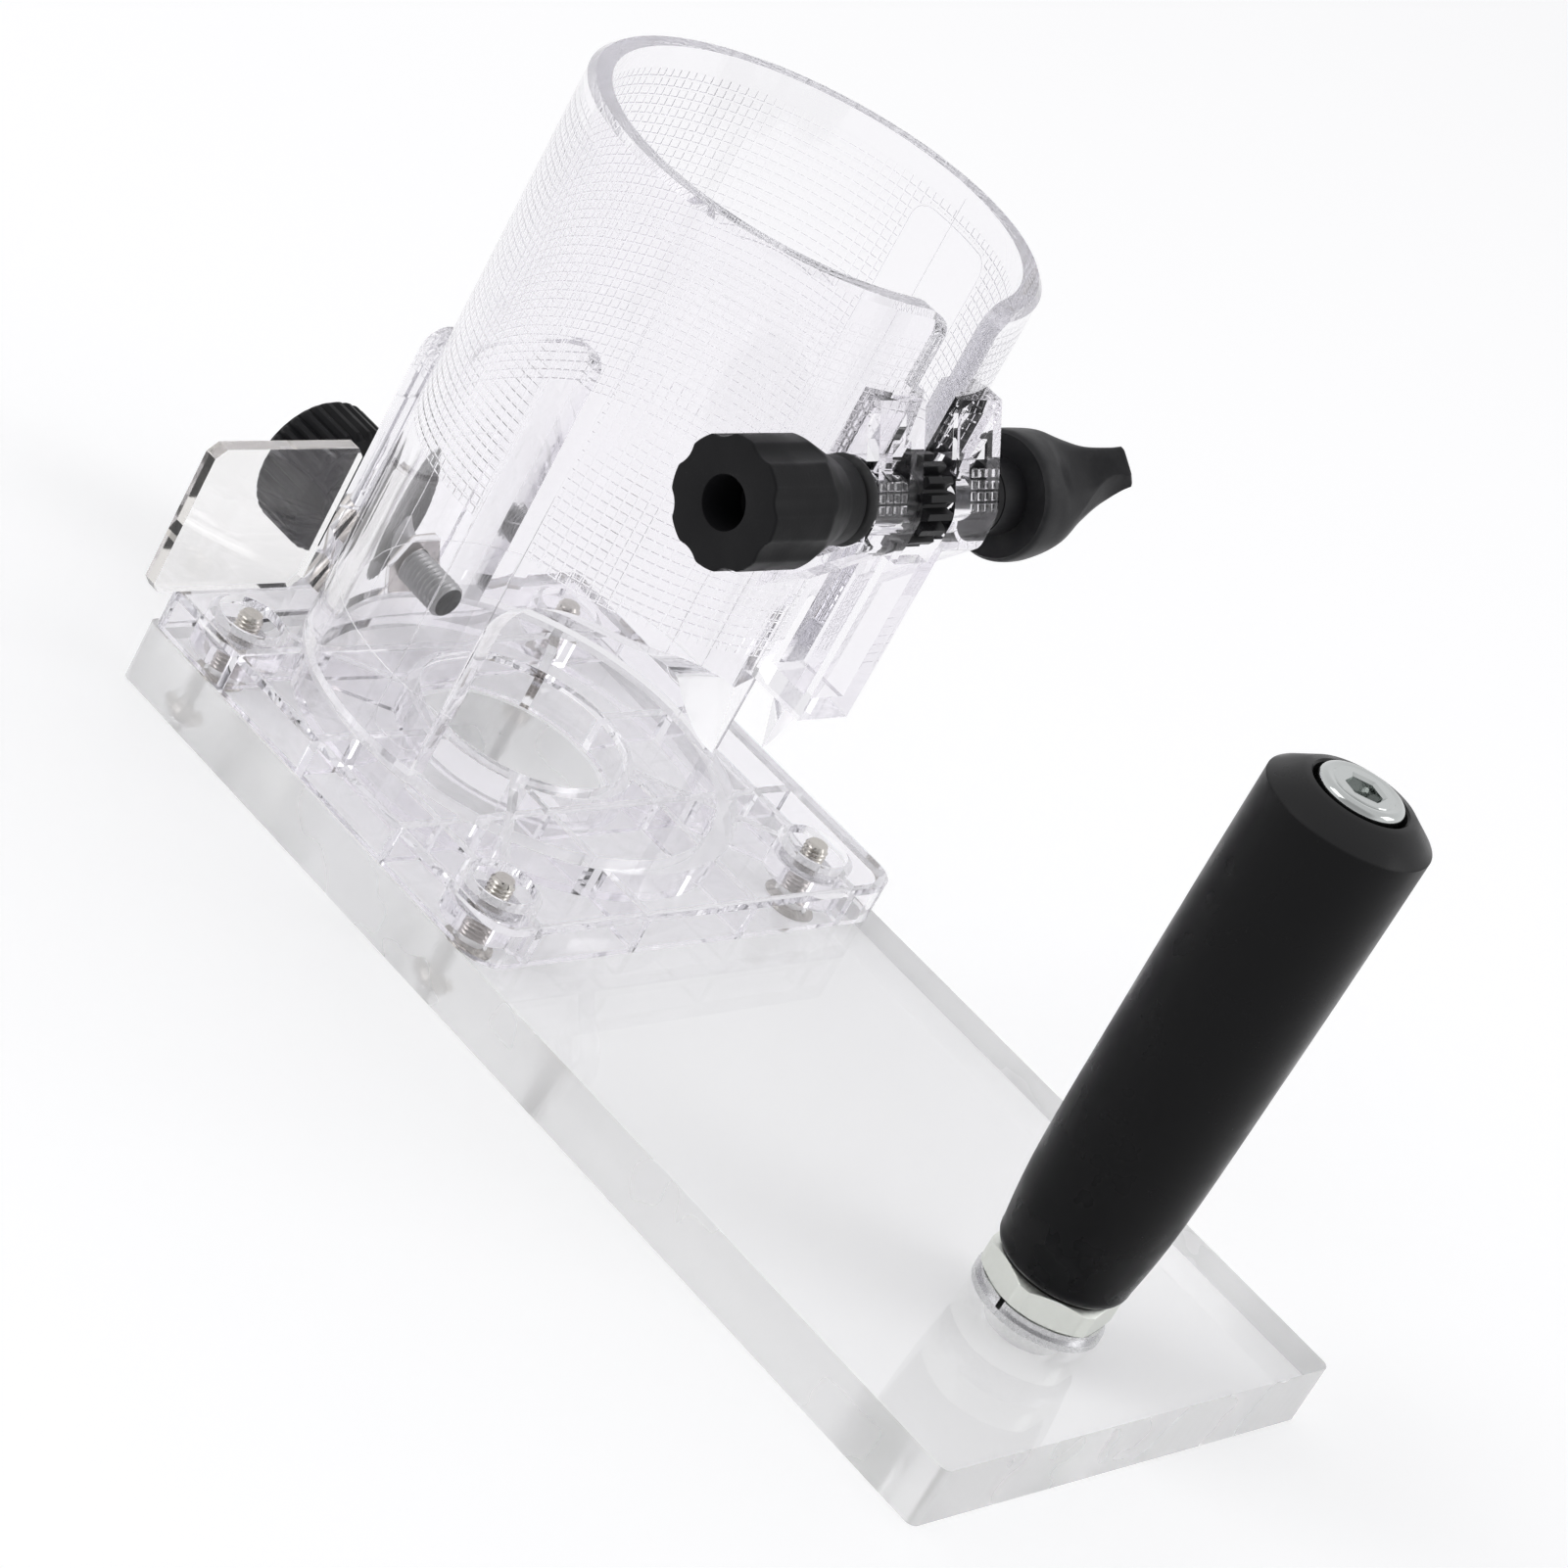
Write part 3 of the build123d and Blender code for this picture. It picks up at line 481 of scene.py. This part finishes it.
def black_moulding(name, colour, roughness, grain, shine=0.15, dust=0.5, pale_from=None, haze=0.0):
    """Black moulded plastic with a fine grain, slight unevenness in its sheen, and specks of dust. It may be
    paler above a height, and hazy with handling."""
    finish = Finish(name)
    finish.set(Specular_IOR_Level=shine)
    specks = finish.node("TexVoronoi")
    specks.inputs["Scale"].default_value = 260
    finish.join(finish.place(), "Object", specks, "Vector")
    near = finish.ramp(specks.outputs["Distance"], 0.02, 0.045, 1.0, 0.0)
    some = finish.math("GREATER_THAN", finish.noise(90, 1), 0.62)
    grey = tuple(0.12 + value for value in colour)
    pale = finish.math("MULTIPLY", finish.math("MULTIPLY", near, some), dust)
    if pale_from is not None:
        height = finish.axes()[2]
        crown = finish.ramp(height, pale_from, pale_from + grip_pale_fade, 0.0, 0.14)
        pale = finish.math("MAXIMUM", pale, crown)
    if haze:
        handled = finish.ramp(finish.noise(130, 4, 0.65), 0.45, 0.75, 0.0, haze)
        pale = finish.math("MAXIMUM", pale, handled)
    finish.tint(pale, colour, grey)
    finish.rough(finish.ramp(finish.noise(160, 3), 0.3, 0.7, roughness - 0.06, roughness + 0.08))
    finish.bump(finish.noise(2600, 2), grain)
    return finish.material


def metal(name, colour, roughness):
    """Bare or plated metal with fine tool marks."""
    finish = Finish(name)
    finish.set(Base_Color=(*colour, 1), Metallic=1.0)
    marks = finish.noise(1800, 3, 0.6)
    finish.rough(finish.ramp(marks, 0.3, 0.7, roughness - 0.05, roughness + 0.1))
    finish.bump(marks, tool_mark_depth, 0.5)
    return finish.material


def rod_finish():
    """Grey steel of the thumb screw, with a dark blunt end."""
    finish = Finish("rod_steel")
    finish.set(Metallic=1.0)
    east = finish.axes()[0]
    end = finish.math("GREATER_THAN", east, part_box("thumb_screw")[1][0] - rod_end_length)
    finish.tint(end, (0.42, 0.42, 0.42), (0.06, 0.06, 0.06))
    marks = finish.noise(1500, 3, 0.6)
    finish.rough(finish.ramp(marks, 0.3, 0.7, 0.3, 0.5))
    finish.bump(marks, rod_mark_depth, 0.5)
    return finish.material


def rubber():
    """Dull black rubber."""
    finish = Finish("rubber")
    finish.set(Base_Color=(0.012, 0.012, 0.013, 1))
    finish.rough(finish.ramp(finish.noise(500), 0.3, 0.7, 0.6, 0.8))
    return finish.material


finishes = {
    "acrylic_plate": acrylic_sheet(),
    "acrylic_tab": warm_acrylic(),
    "clear_moulding": moulded_clear(),
    "nickel_screws": metal("nickel", (0.58, 0.555, 0.52), 0.16),
    "washer_steel": metal("bright_steel", (0.66, 0.66, 0.67), 0.22),
    "zinc_steel": metal("zinc", (0.84, 0.86, 0.81), 0.36),
    "dark_steel": metal("black_steel", (0.06, 0.06, 0.065), 0.35),
    "insert_brass": metal("brass", (0.75, 0.55, 0.28), 0.25),
    "black_washer": black_moulding("black_nylon", (0.012, 0.012, 0.013), 0.4, nylon_grain),
    "black_grip": black_moulding(
        "satin_grip", (0.004, 0.004, 0.0045), 0.3, satin_grain, 0.12, pale_from=grip_pale_from,
    ),
    "black_knob": black_moulding("knob_plastic", (0.0085, 0.0085, 0.0095), 0.45, knob_grain, 0.12, 0.8),
    "gear_plastic": black_moulding("gear_plastic", (0.012, 0.012, 0.013), 0.3, satin_grain),
    "black_rubber": rubber(),
    "chrome_bolt": metal("chrome", (0.56, 0.58, 0.57), 0.06),
}

# Finishes of single pieces that differ from their slot's
tube_clear = moulded_clear("tube_clear", tube_relief)
ear_clear = moulded_clear("ear_clear", bend=ear_bend)
rod_steel = rod_finish()
lever_black = black_moulding("lever_black", (0.013, 0.013, 0.0145), 0.42, knob_grain, 0.25, 0.8, haze=0.12)
own_finishes = {"motor_tube": tube_clear, "clamp_housing": ear_clear}


def dress_nodes():
    """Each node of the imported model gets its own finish, or that of its slot."""
    for part in frame["record"]["subparts"]:
        node = frame["nodes"][part["node"]]
        finish = own_finishes.get(part["node"], finishes[part["material_slot"]])
        for slot in node.material_slots:
            slot.material = finish


def part_clear_nodes():
    """A hair of air between clear pieces that touch, so that light leaves one before it enters the next."""
    for name in clear_nodes:
        node = frame["nodes"][name]
        gap = node.modifiers.new("gap", "DISPLACE")
        gap.mid_level = 0.0
        gap.strength = -contact_gap


def ring_faces(rows, columns):
    """Four-sided faces between each ring of points and the next, and two fans that close the ends."""
    ring = np.arange(rows - 1)[:, None] * columns
    side = np.arange(columns)[None, :]
    after = (side + 1) % columns
    walls = np.stack([ring + side, ring + after, ring + columns + after, ring + columns + side], axis=-1)
    first, last = rows * columns, rows * columns + 1
    low = np.stack([np.full(columns, first), after[0], side[0]], axis=-1)
    top = (rows - 1) * columns
    high = np.stack([np.full(columns, last), top + side[0], top + after[0]], axis=-1)
    return walls.reshape(-1, 4).tolist() + low.tolist() + high.tolist()


def add_mesh(name, points, faces, slot, body, node=None, sharp=35, finish=None):
    """A smooth mesh with crisp corners that takes a slot's finish, rides a body and may replace a node."""
    mesh = bpy.data.meshes.new(name)
    mesh.from_pydata(points.tolist(), [], faces)
    mesh.polygons.foreach_set("use_smooth", np.ones(len(mesh.polygons), dtype=bool))
    mesh.set_sharp_from_angle(angle=math.radians(sharp))
    mesh.materials.append(finish or finishes[slot])
    piece = bpy.data.objects.new(name, mesh)
    bpy.context.collection.objects.link(piece)
    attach(piece, body)
    if node:
        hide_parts(node)
    return piece


def turning_centre(low, high, axis):
    """Middle of a box, with zero along the axis that a form is turned about."""
    place = (np.array(low) + np.array(high)) / 2
    place[axis] = 0
    return place


def turned(radius, height, columns, centre, axis):
    """Points of a turned form: ring i stands at height[i] along the axis and its radius is radius[i], or
    radius[i, column] where the form isn't round. A point on the axis closes each end."""
    radius = np.asarray(radius, dtype=float).reshape(len(height), -1)
    radius = np.broadcast_to(radius, (len(height), columns))
    turn = np.linspace(0, 2 * np.pi, columns, endpoint=False)
    axis = np.asarray(axis, dtype=float)
    across = np.cross((0, 0, 1), axis) if abs(axis[2]) < 0.9 else np.array((1.0, 0, 0))
    beyond = np.cross(axis, across)
    spread = np.cos(turn)[:, None] * across + np.sin(turn)[:, None] * beyond
    rings = centre + radius[:, :, None] * spread + np.asarray(height)[:, None, None] * axis
    ends = centre + np.outer((height[0], height[-1]), axis)
    return np.vstack([rings.reshape(-1, 3), ends])


def rounded(radius, height, bend, start, end, steps=6):
    """A round stretch of a profile: it turns from the angle start to end about (radius, height)."""
    angle = np.radians(np.linspace(start, end, steps))
    return np.stack([radius + bend * np.cos(angle), height + bend * np.sin(angle)], axis=-1)


def thread_rows(start, end, pitch, steps=8):
    """Heights of the rings of a thread, steps to a turn."""
    return np.linspace(start, end, int(round((end - start) / pitch * steps)) + 1)


def thread_radius(height, columns, radius, pitch, depth):
    """Radius of a thread: height less turn, counted in pitches, runs round a rounded V of that depth."""
    turn = np.linspace(0, 1, columns, endpoint=False)
    phase = height[:, None] / pitch - turn[None, :]
    valley = np.abs(2 * (phase - np.floor(phase)) - 1)
    return radius - depth * (3 * valley ** 2 - 2 * valley ** 3)


def hexagon(columns, flats, turn=0.0):
    """Radius of a hexagon at each column: half the flats over the cosine of the angle to the nearest flat."""
    angle = np.linspace(0, 2 * np.pi, columns, endpoint=False) - turn
    off = (angle + np.pi / 6) % (np.pi / 3) - np.pi / 6
    return flats / 2 / np.cos(off)


def smooth_through(shares, steps):
    """A smooth curve through shares: between two of them a cubic whose end slopes are half the difference
    of the neighbours."""
    values = np.asarray(shares, dtype=float)
    padded = np.concatenate([[2 * values[0] - values[1]], values, [2 * values[-1] - values[-2]]])
    slope = (padded[2:] - padded[:-2]) / 2
    place = np.linspace(0, len(values) - 1, steps)
    left = np.minimum(place.astype(int), len(values) - 2)
    t = place - left
    return (
        (2 * t ** 3 - 3 * t ** 2 + 1) * values[left]
        + (t ** 3 - 2 * t ** 2 + t) * slope[left]
        + (3 * t ** 2 - 2 * t ** 3) * values[left + 1]
        + (t ** 3 - t ** 2) * slope[left + 1]
    )


def add_grip():
    """Turned handle grip: a barrel whose radius follows a smooth curve through eight stations, a rounded
    foot, a slanting crown and a round recess for the bolt."""
    low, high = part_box("handle_grip")
    widest = (high[0] - low[0]) / 2
    columns, rings = 128, 60
    side = smooth_through(grip_radius_shares, rings) * widest
    side_height = low[2] + smooth_through(grip_height_shares, rings) * (high[2] - low[2])
    crown = side_height[-1] + grip_crown_rise_share * (high[2] - side_height[-1])
    foot = side[0] - grip_foot_round
    recess = grip_recess_share * widest
    profile = np.vstack([
        [(core_share * widest, low[2]), (foot, low[2])],
        rounded(foot, low[2] + grip_foot_round, grip_foot_round, -80, -5),
        np.stack([side, side_height], axis=-1),
        [(side[-1] - grip_shoulder, side_height[-1] + grip_shoulder), (grip_crown_share * widest, crown)],
        [(recess + grip_recess_bevel, high[2]), (recess, high[2] - grip_recess_bevel)],
        [(recess, high[2] - grip_recess_depth), (core_share * widest, high[2] - grip_recess_depth)],
    ])
    points = turned(profile[:, 0], profile[:, 1], columns, turning_centre(low, high, 2), (0, 0, 1))
    faces = ring_faces(len(profile), columns)
    add_mesh("grip_barrel", points, faces, "black_grip", "base", "handle_grip", sharp=28)


def add_star_knob():
    """Star knob: at each turn the radius is the least of the disc, the scallop circles and the cone behind
    the lobes. The front has a deep round hole, and a collar runs to the ear."""
    low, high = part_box("star_knob")
    front, back = low[1], high[1]
    columns, rings = 256, 60
    turn = np.linspace(0, 2 * np.pi, columns, endpoint=False)
    lobe = 2 * np.pi / knob_lobes
    off = (turn - math.radians(knob_turn) + lobe / 2) % lobe - lobe / 2
    reach = knob_radius + knob_scallop_radius - knob_scallop_depth
    inside = np.maximum(knob_scallop_radius ** 2 - (reach * np.sin(off)) ** 2, 0)
    scallop = np.where(inside > 0, reach * np.cos(off) - np.sqrt(inside), knob_radius * 2)
    lobes = -knob_softness * np.log(np.exp(-knob_radius / knob_softness) + np.exp(-scallop / knob_softness))
    rows = [
        (front + knob_bore_depth, knob_core_share * knob_bore_radius),
        (front + knob_bore_depth, knob_bore_radius),
        (front + knob_mouth_depth, knob_bore_radius),
        (front + knob_mouth_break, knob_bore_radius + knob_mouth_break),
        (front, knob_bore_radius + knob_mouth_round),
    ]
    for angle in np.radians(np.linspace(-90, 0, 5)):
        height = front + knob_edge_round * (1 + math.sin(angle))
        rows.append((height, lobes - knob_edge_round * (1 - math.cos(angle))))
    for height in np.linspace(front + 2 * knob_edge_round, front + knob_cone_end, rings):
        cone = knob_radius - (height - front - knob_cone_start) * knob_cone_slope
        rows.append((height, np.minimum(lobes, max(cone, knob_collar_radius))))
    rows += [
        (back - knob_collar_bevel, knob_collar_radius),
        (back, knob_collar_radius - knob_collar_bevel),
        (back, knob_bore_radius),
    ]
    heights = np.array([height for height, _ in rows])
    radii = np.array([np.broadcast_to(radius, columns) for _, radius in rows])
    points = turned(radii, heights, columns, turning_centre(low, high, 1), (0, 1, 0))
    faces = ring_faces(len(rows), columns)
    add_mesh("lobed_knob", points, faces, "black_knob", "star_knob", "star_knob", sharp=28)


def add_friction_ring():
    """Rubber ring between the star knob and the ear: a dark groove behind the knob, then a rounded bead."""
    low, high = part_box("friction_ring")
    columns = 96
    start, end = low[1], low[1] + ring_length
    bead_height = (start + end) / 2 + ring_bead_shift
    bead = rounded(ring_radius - ring_bead, bead_height, ring_bead, -90, 90, 9)
    groove = [(ring_bore, start), (ring_groove, start), (ring_groove, bead[0][1])]
    rows = np.vstack([groove, bead, [(ring_groove, end), (ring_bore, end)]])
    points = turned(rows[:, 0], rows[:, 1], columns, turning_centre(low, high, 1), (0, 1, 0))
    faces = ring_faces(len(rows), columns)
    add_mesh("rubber_ring", points, faces, "black_rubber", "star_knob", "friction_ring", sharp=40)


def add_thumb_knob():
    """Knurled knob of the thumb screw: the radius dips in a rounded V at each flute, less so in the bevel at
    each edge, and a collar stands before it."""
    low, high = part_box("thumb_knob")
    widest = (high[2] - low[2]) / 2
    columns = thumb_flutes * 12
    phase = np.linspace(0, thumb_flutes, columns, endpoint=False) % 1
    valley = np.clip(1 - np.abs(2 * phase - 1) * thumb_flute_narrow, 0, 1)
    flute = valley ** thumb_flute_curve * thumb_flute_depth
    wheel = low[0] + thumb_wheel_length
    rows = [(low[0] + place, share, deep) for place, share, deep in thumb_front_shares]
    rows += [(wheel - place, share, deep) for place, share, deep in thumb_back_shares]
    rows += [
        (wheel, thumb_collar_share, 0),
        (high[0] - thumb_collar_bevel, thumb_collar_share, 0),
        (high[0], thumb_collar_end_share * thumb_collar_share, 0),
        (high[0], core_share, 0),
    ]
    radii = np.array([share * widest - flute * deep for _, share, deep in rows])
    heights = np.array([row[0] for row in rows])
    points = turned(radii, heights, columns, turning_centre(low, high, 0), (1, 0, 0))
    faces = ring_faces(len(rows), columns)
    add_mesh("knurled_knob", points, faces, "black_knob", "thumb_screw", "thumb_knob", sharp=28)


def add_thumb_screw():
    """Threaded rod of the thumb screw, bevelled at its tip."""
    low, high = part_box("thumb_screw")
    radius = (high[2] - low[2]) / 2
    columns = 48
    heights = thread_rows(low[0], high[0], screw_pitch)
    radii = thread_radius(heights, columns, radius, screw_pitch, thread_depth)
    radii = np.minimum(radii, radius - thread_depth + np.clip(high[0] - heights, 0, 1)[:, None])
    points = turned(radii, heights, columns, turning_centre(low, high, 0), (1, 0, 0))
    faces = ring_faces(len(heights), columns)
    add_mesh(
        "threaded_rod", points, faces, "nickel_screws", "thumb_screw", "thumb_screw",
        sharp=50, finish=rod_steel,
    )


def add_corner_screws():
    """Four countersunk screws: a hexagon socket from below, a cone, a threaded shank and a bevelled end."""
    low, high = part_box("corner_screws")
    columns = 36
    radius = corner_head_radius
    ends = np.array([(low[0] + radius, high[0] - radius), (low[1] + radius, high[1] - radius)])
    cone_end = low[2] + radius - corner_shank_radius
    shank = thread_rows(cone_end + corner_neck, high[2] - corner_tip_height, corner_pitch, 6)
    heights = np.concatenate([
        [low[2] + corner_socket_depth, low[2] + corner_socket_depth, low[2], low[2]],
        [low[2] + corner_edge_height, cone_end], shank, [high[2], high[2]],
    ])
    socket = hexagon(columns, corner_socket_flats)
    head = [core_share * socket, socket, socket]
    head += [np.full(columns, value) for value in (radius - corner_edge_bevel, radius, corner_shank_radius)]
    thread = thread_radius(shank, columns, corner_shank_radius, corner_pitch, corner_thread_depth)
    tip_radii = (corner_shank_radius - corner_tip_bevel, corner_shank_radius / 2)
    tip = [np.full(columns, value) for value in tip_radii]
    radii = np.vstack([head, thread, tip])
    faces = ring_faces(len(heights), columns)
    for index, (x, y) in enumerate([(x, y) for x in ends[0] for y in ends[1]]):
        points = turned(radii, heights, columns, np.array([x, y, 0]), (0, 0, 1))
        piece = add_mesh(f"corner_screw_{index + 1}", points, faces, "nickel_screws", "base", sharp=50)
        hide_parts("corner_screws")


def add_lock_nut():
    """Lock nut of the handle: a hexagon cut at both faces by a cone, and a short bevel round its hole."""
    low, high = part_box("handle_nut")
    columns, rings = 288, 10
    hexa = hexagon(columns, nut_flats, math.radians(nut_turn))
    bevel = np.linspace(0, nut_bevel, rings)
    height = np.concatenate([[low[2]], low[2] + bevel, high[2] - bevel[::-1], [high[2]]])
    inset = np.minimum(height - low[2], high[2] - height)[1:-1]
    cone = nut_flats / 2 * nut_face_share + inset * nut_cone_slope
    hole = np.full(columns, nut_hole)
    radii = np.vstack([hole, np.minimum(hexa, cone[:, None]), hole])
    points = turned(radii, height, columns, turning_centre(low, high, 2), (0, 0, 1))
    faces = ring_faces(len(height), columns)
    add_mesh("bevelled_nut", points, faces, "zinc_steel", "base", "handle_nut", sharp=24)


def add_handle_bolt():
    """Socket bolt in the grip's crown: a hexagon hole with a bevelled mouth, a flat ring, a rounded rim."""
    low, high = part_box("handle_bolt")
    radius = (high[0] - low[0]) / 2
    columns = 120
    top, seat = high[2], high[2] - cap_height
    floor = top - cap_socket_depth
    rim = rounded(radius - cap_rim_round, top - cap_rim_round, cap_rim_round, 0, 90, 9)
    heights = np.concatenate([
        [low[2], low[2], seat, seat], rim[:, 1], [top - cap_ring_sink, top - cap_ring_sink, top, top],
        [top - cap_mouth_depth, floor, floor - cap_drill_depth],
    ])
    round_radii = [core_share * shank_radius, shank_radius, shank_radius, radius - cap_foot_bevel]
    round_radii += [*rim[:, 0], *(share * radius for share in cap_ring_shares)]
    rows = [np.full(columns, value) for value in round_radii]
    socket = hexagon(columns, cap_socket_flats, math.radians(nut_turn))
    rows += [socket + cap_mouth_bevel, socket, socket, cap_drill_share * socket]
    points = turned(np.array(rows), heights, columns, turning_centre(low, high, 2), (0, 0, 1))
    faces = ring_faces(len(heights), columns)
    add_mesh("cap_bolt", points, faces, "chrome_bolt", "base", "handle_bolt", sharp=30)


def add_ear_squares():
    """Raised squares on the ears: truncated pyramids in rows on both noses and on the outer sides. Each
    corner is its foot, plus a lift along the way it stands, plus half its width along both edges."""
    rise = (nose_rise[0], 0, nose_rise[1])
    front = (nose_rise[1], 0, -nose_rise[0])
    spots = []
    for side, rows in ((-1, near_nose_rows), (1, nose_rows)):
        for along in rows:
            for across in nose_columns:
                foot = np.array([nose_foot[0], side * across, nose_foot[1]]) + np.array(rise) * along
                spots.append((foot, (0, 1, 0), rise, front))
        for height in flank_rows:
            for reach in flank_columns:
                spots.append(((reach, side * flank_side, height), (0, 0, side), (1, 0, 0), (0, side, 0)))
    foot, first, second, out = (np.array(column, dtype=float) for column in zip(*spots))
    corners = np.array([(-1, -1), (1, -1), (1, 1), (-1, 1)])
    spread = corners[:, 0, None] * first[:, None, :] + corners[:, 1, None] * second[:, None, :]
    layers = []
    for lift, width in ((contact_gap, ear_stud_width), (ear_stud_height, ear_stud_top)):
        layers.append((foot + out * lift)[:, None, :] + spread * width / 2)
    points = np.concatenate(layers, axis=1)
    sides = np.array([(3, 2, 1, 0), (4, 5, 6, 7), (0, 1, 5, 4), (1, 2, 6, 5), (2, 3, 7, 6), (3, 0, 4, 7)])
    turns = np.sum(np.cross(first, second) * out, axis=1) > 0
    faces = np.where(turns[:, None, None], sides, sides[:, ::-1])
    faces = faces + points.shape[1] * np.arange(len(points))[:, None, None]
    points, faces = points.reshape(-1, 3), faces.reshape(-1, 4).tolist()
    add_mesh("ear_squares", points, faces, "clear_moulding", "base", sharp=20, finish=ear_clear)


def add_lever():
    """Clamp lever: sections from the hub to the tip, each an oval that grows squarer. Their places, widths
    and depths follow smooth curves through the same shares as the solid, and a slanting cut scoops the lower
    edge of the tip."""
    low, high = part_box("wing_lever")
    columns, rows = 96, 90
    rise = smooth_through(lever_rise_shares, rows) * lever_rise
    reach = smooth_through(lever_reach_shares, rows) * lever_reach
    half = smooth_through(lever_half_shares, rows) * lever_hub_radius
    depth = smooth_through(lever_depth_shares, rows) * lever_hub_radius
    tilt = np.clip(smooth_through(lever_tilt_shares, rows), 0, 1)
    power = (1 - lever_square_share * tilt)[:, None]
    turn = np.linspace(0, 2 * np.pi, columns, endpoint=False)
    wide = half[:, None] * np.sign(np.cos(turn)) * np.abs(np.cos(turn)) ** power
    deep = depth[:, None] * np.sign(np.sin(turn)) * np.abs(np.sin(turn)) ** power
    lean = math.radians(lever_scoop_angle)
    past = deep * math.sin(lean) - wide * math.cos(lean)
    spread = (reach / lever_reach - lever_scoop_place) / lever_scoop_spread
    limit = past.max(axis=1) - lever_scoop_depth * np.exp(-spread ** 2)
    cut = np.maximum(past - limit[:, None], 0)
    deep = deep - cut * math.sin(lean)
    wide = wide + cut * math.cos(lean)
    angle = math.radians(lever_angle)
    out = np.array([math.cos(angle), 0, math.sin(angle)])
    across = np.array([-math.sin(angle), 0, math.cos(angle)])
    slope = np.radians(lever_tilt * tilt)
    facing = np.cos(slope)[:, None] * out - np.sin(slope)[:, None] * np.array([0, 1, 0])
    hub = np.array([axle_place[0], low[1], axle_place[2]])
    middle = hub + np.outer(lever_neck + rise, (0, 1, 0)) + np.outer(reach, out)
    rings = middle[:, None, :] + wide[:, :, None] * across + deep[:, :, None] * facing[:, None, :]
    neck = hub + lever_neck_radius * (np.cos(turn)[:, None] * across + np.sin(turn)[:, None] * out)
    joint = neck + np.array([0, lever_neck + lever_joint_gap, 0])
    onward = (middle[-1] - middle[-2]) / np.linalg.norm(middle[-1] - middle[-2])
    tip = rings[-1] + onward * lever_tip_length
    tip = tip * lever_tip_share + tip.mean(axis=0) * (1 - lever_tip_share)
    rings = np.concatenate([neck[None], joint[None], rings, tip[None]])
    ends = np.stack([rings[0].mean(axis=0), rings[-1].mean(axis=0)])
    points = np.vstack([rings.reshape(-1, 3), ends])
    faces = ring_faces(len(rings), columns)
    add_mesh("clamp_lever", points, faces, "black_knob", "lever", "wing_lever", sharp=40, finish=lever_black)


def add_floor():
    """A plain pale floor under the object."""
    low = cad_bounds[0][2]
    corners = [(x * floor_reach, y * floor_reach, low) for x, y in ((-1, -1), (1, -1), (1, 1), (-1, 1))]
    mesh = bpy.data.meshes.new("floor")
    mesh.from_pydata(corners, [], [(0, 1, 2, 3)])
    floor = bpy.data.objects.new("floor", mesh)
    bpy.context.collection.objects.link(floor)
    paper = Finish("white_paper")
    paper.set(Base_Color=(floor_grey, floor_grey, floor_grey, 1), Roughness=0.9, Specular_IOR_Level=0.1)
    paper.set(Emission_Color=(1, 1, 1, 1), Emission_Strength=floor_glow)
    mesh.materials.append(paper.material)


def add_lamp(name, place, target, size, power):
    """A soft square lamp at a place, aimed at a target."""
    lamp = bpy.data.lights.new(name, "AREA")
    lamp.size = size
    lamp.energy = power
    holder = bpy.data.objects.new(name, lamp)
    bpy.context.collection.objects.link(holder)
    back = np.array(place) - np.array(target)
    back /= np.linalg.norm(back)
    side = np.cross((0, 0, 1), back)
    side /= np.linalg.norm(side)
    turn = Matrix([side, np.cross(back, side), back]).transposed().to_4x4()
    turn.translation = place
    holder.matrix_world = turn


def add_sky():
    """White studio surroundings, a little darker overhead, with a dim part behind the camera."""
    world = bpy.data.worlds.new("studio")
    world.use_nodes = True
    bpy.context.scene.world = world
    tree = world.node_tree
    tree.nodes.clear()
    output = tree.nodes.new("ShaderNodeOutputWorld")
    sky = tree.nodes.new("ShaderNodeBackground")
    place = tree.nodes.new("ShaderNodeTexCoord")
    split = tree.nodes.new("ShaderNodeSeparateXYZ")
    facing = tree.nodes.new("ShaderNodeVectorMath")
    facing.operation = "DOT_PRODUCT"
    facing.inputs[1].default_value = camera_back
    for node in (split, facing):
        tree.links.new(place.outputs["Generated"], node.inputs[0])
    both = tree.nodes.new("ShaderNodeMath")
    both.operation = "MULTIPLY"
    band = smooth_range(tree, split.outputs["Z"], sky_from, sky_to, sky_level, sky_top_level)
    dim = smooth_range(tree, facing.outputs["Value"], dim_from, dim_to, 1.0, dim_share)
    tree.links.new(band, both.inputs[0])
    tree.links.new(dim, both.inputs[1])
    tree.links.new(both.outputs[0], sky.inputs["Strength"])
    sky.inputs["Color"].default_value = sky_colour
    tree.links.new(sky.outputs[0], output.inputs["Surface"])


def add_camera():
    """The camera at the picture's place and angle."""
    camera = bpy.data.cameras.new("camera")
    camera.sensor_width = sensor_mm
    camera.lens = focal_pixels / picture_pixels * sensor_mm
    holder = bpy.data.objects.new("camera", camera)
    bpy.context.collection.objects.link(holder)
    turn = Matrix([camera_right, camera_up, camera_back]).transposed().to_4x4()
    turn.translation = camera_place
    holder.matrix_world = turn
    bpy.context.scene.camera = holder


dress_nodes()
part_clear_nodes()
add_grip()
add_star_knob()
add_friction_ring()
add_thumb_knob()
add_thumb_screw()
add_corner_screws()
add_lock_nut()
add_handle_bolt()
add_lever()
add_ear_squares()
add_floor()
add_sky()
aim = tuple(np.mean(cad_bounds, axis=0))
for name, place, size, power in lamps:
    add_lamp(name, place, aim, size, power)
add_camera()
bpy.context.scene.view_settings.view_transform = "Standard"
bpy.context.scene.cycles.max_bounces = light_bounces
bpy.context.scene.cycles.transmission_bounces = light_bounces
bpy.context.scene.cycles.glossy_bounces = light_bounces
bpy.context.scene.cycles.transparent_max_bounces = light_bounces
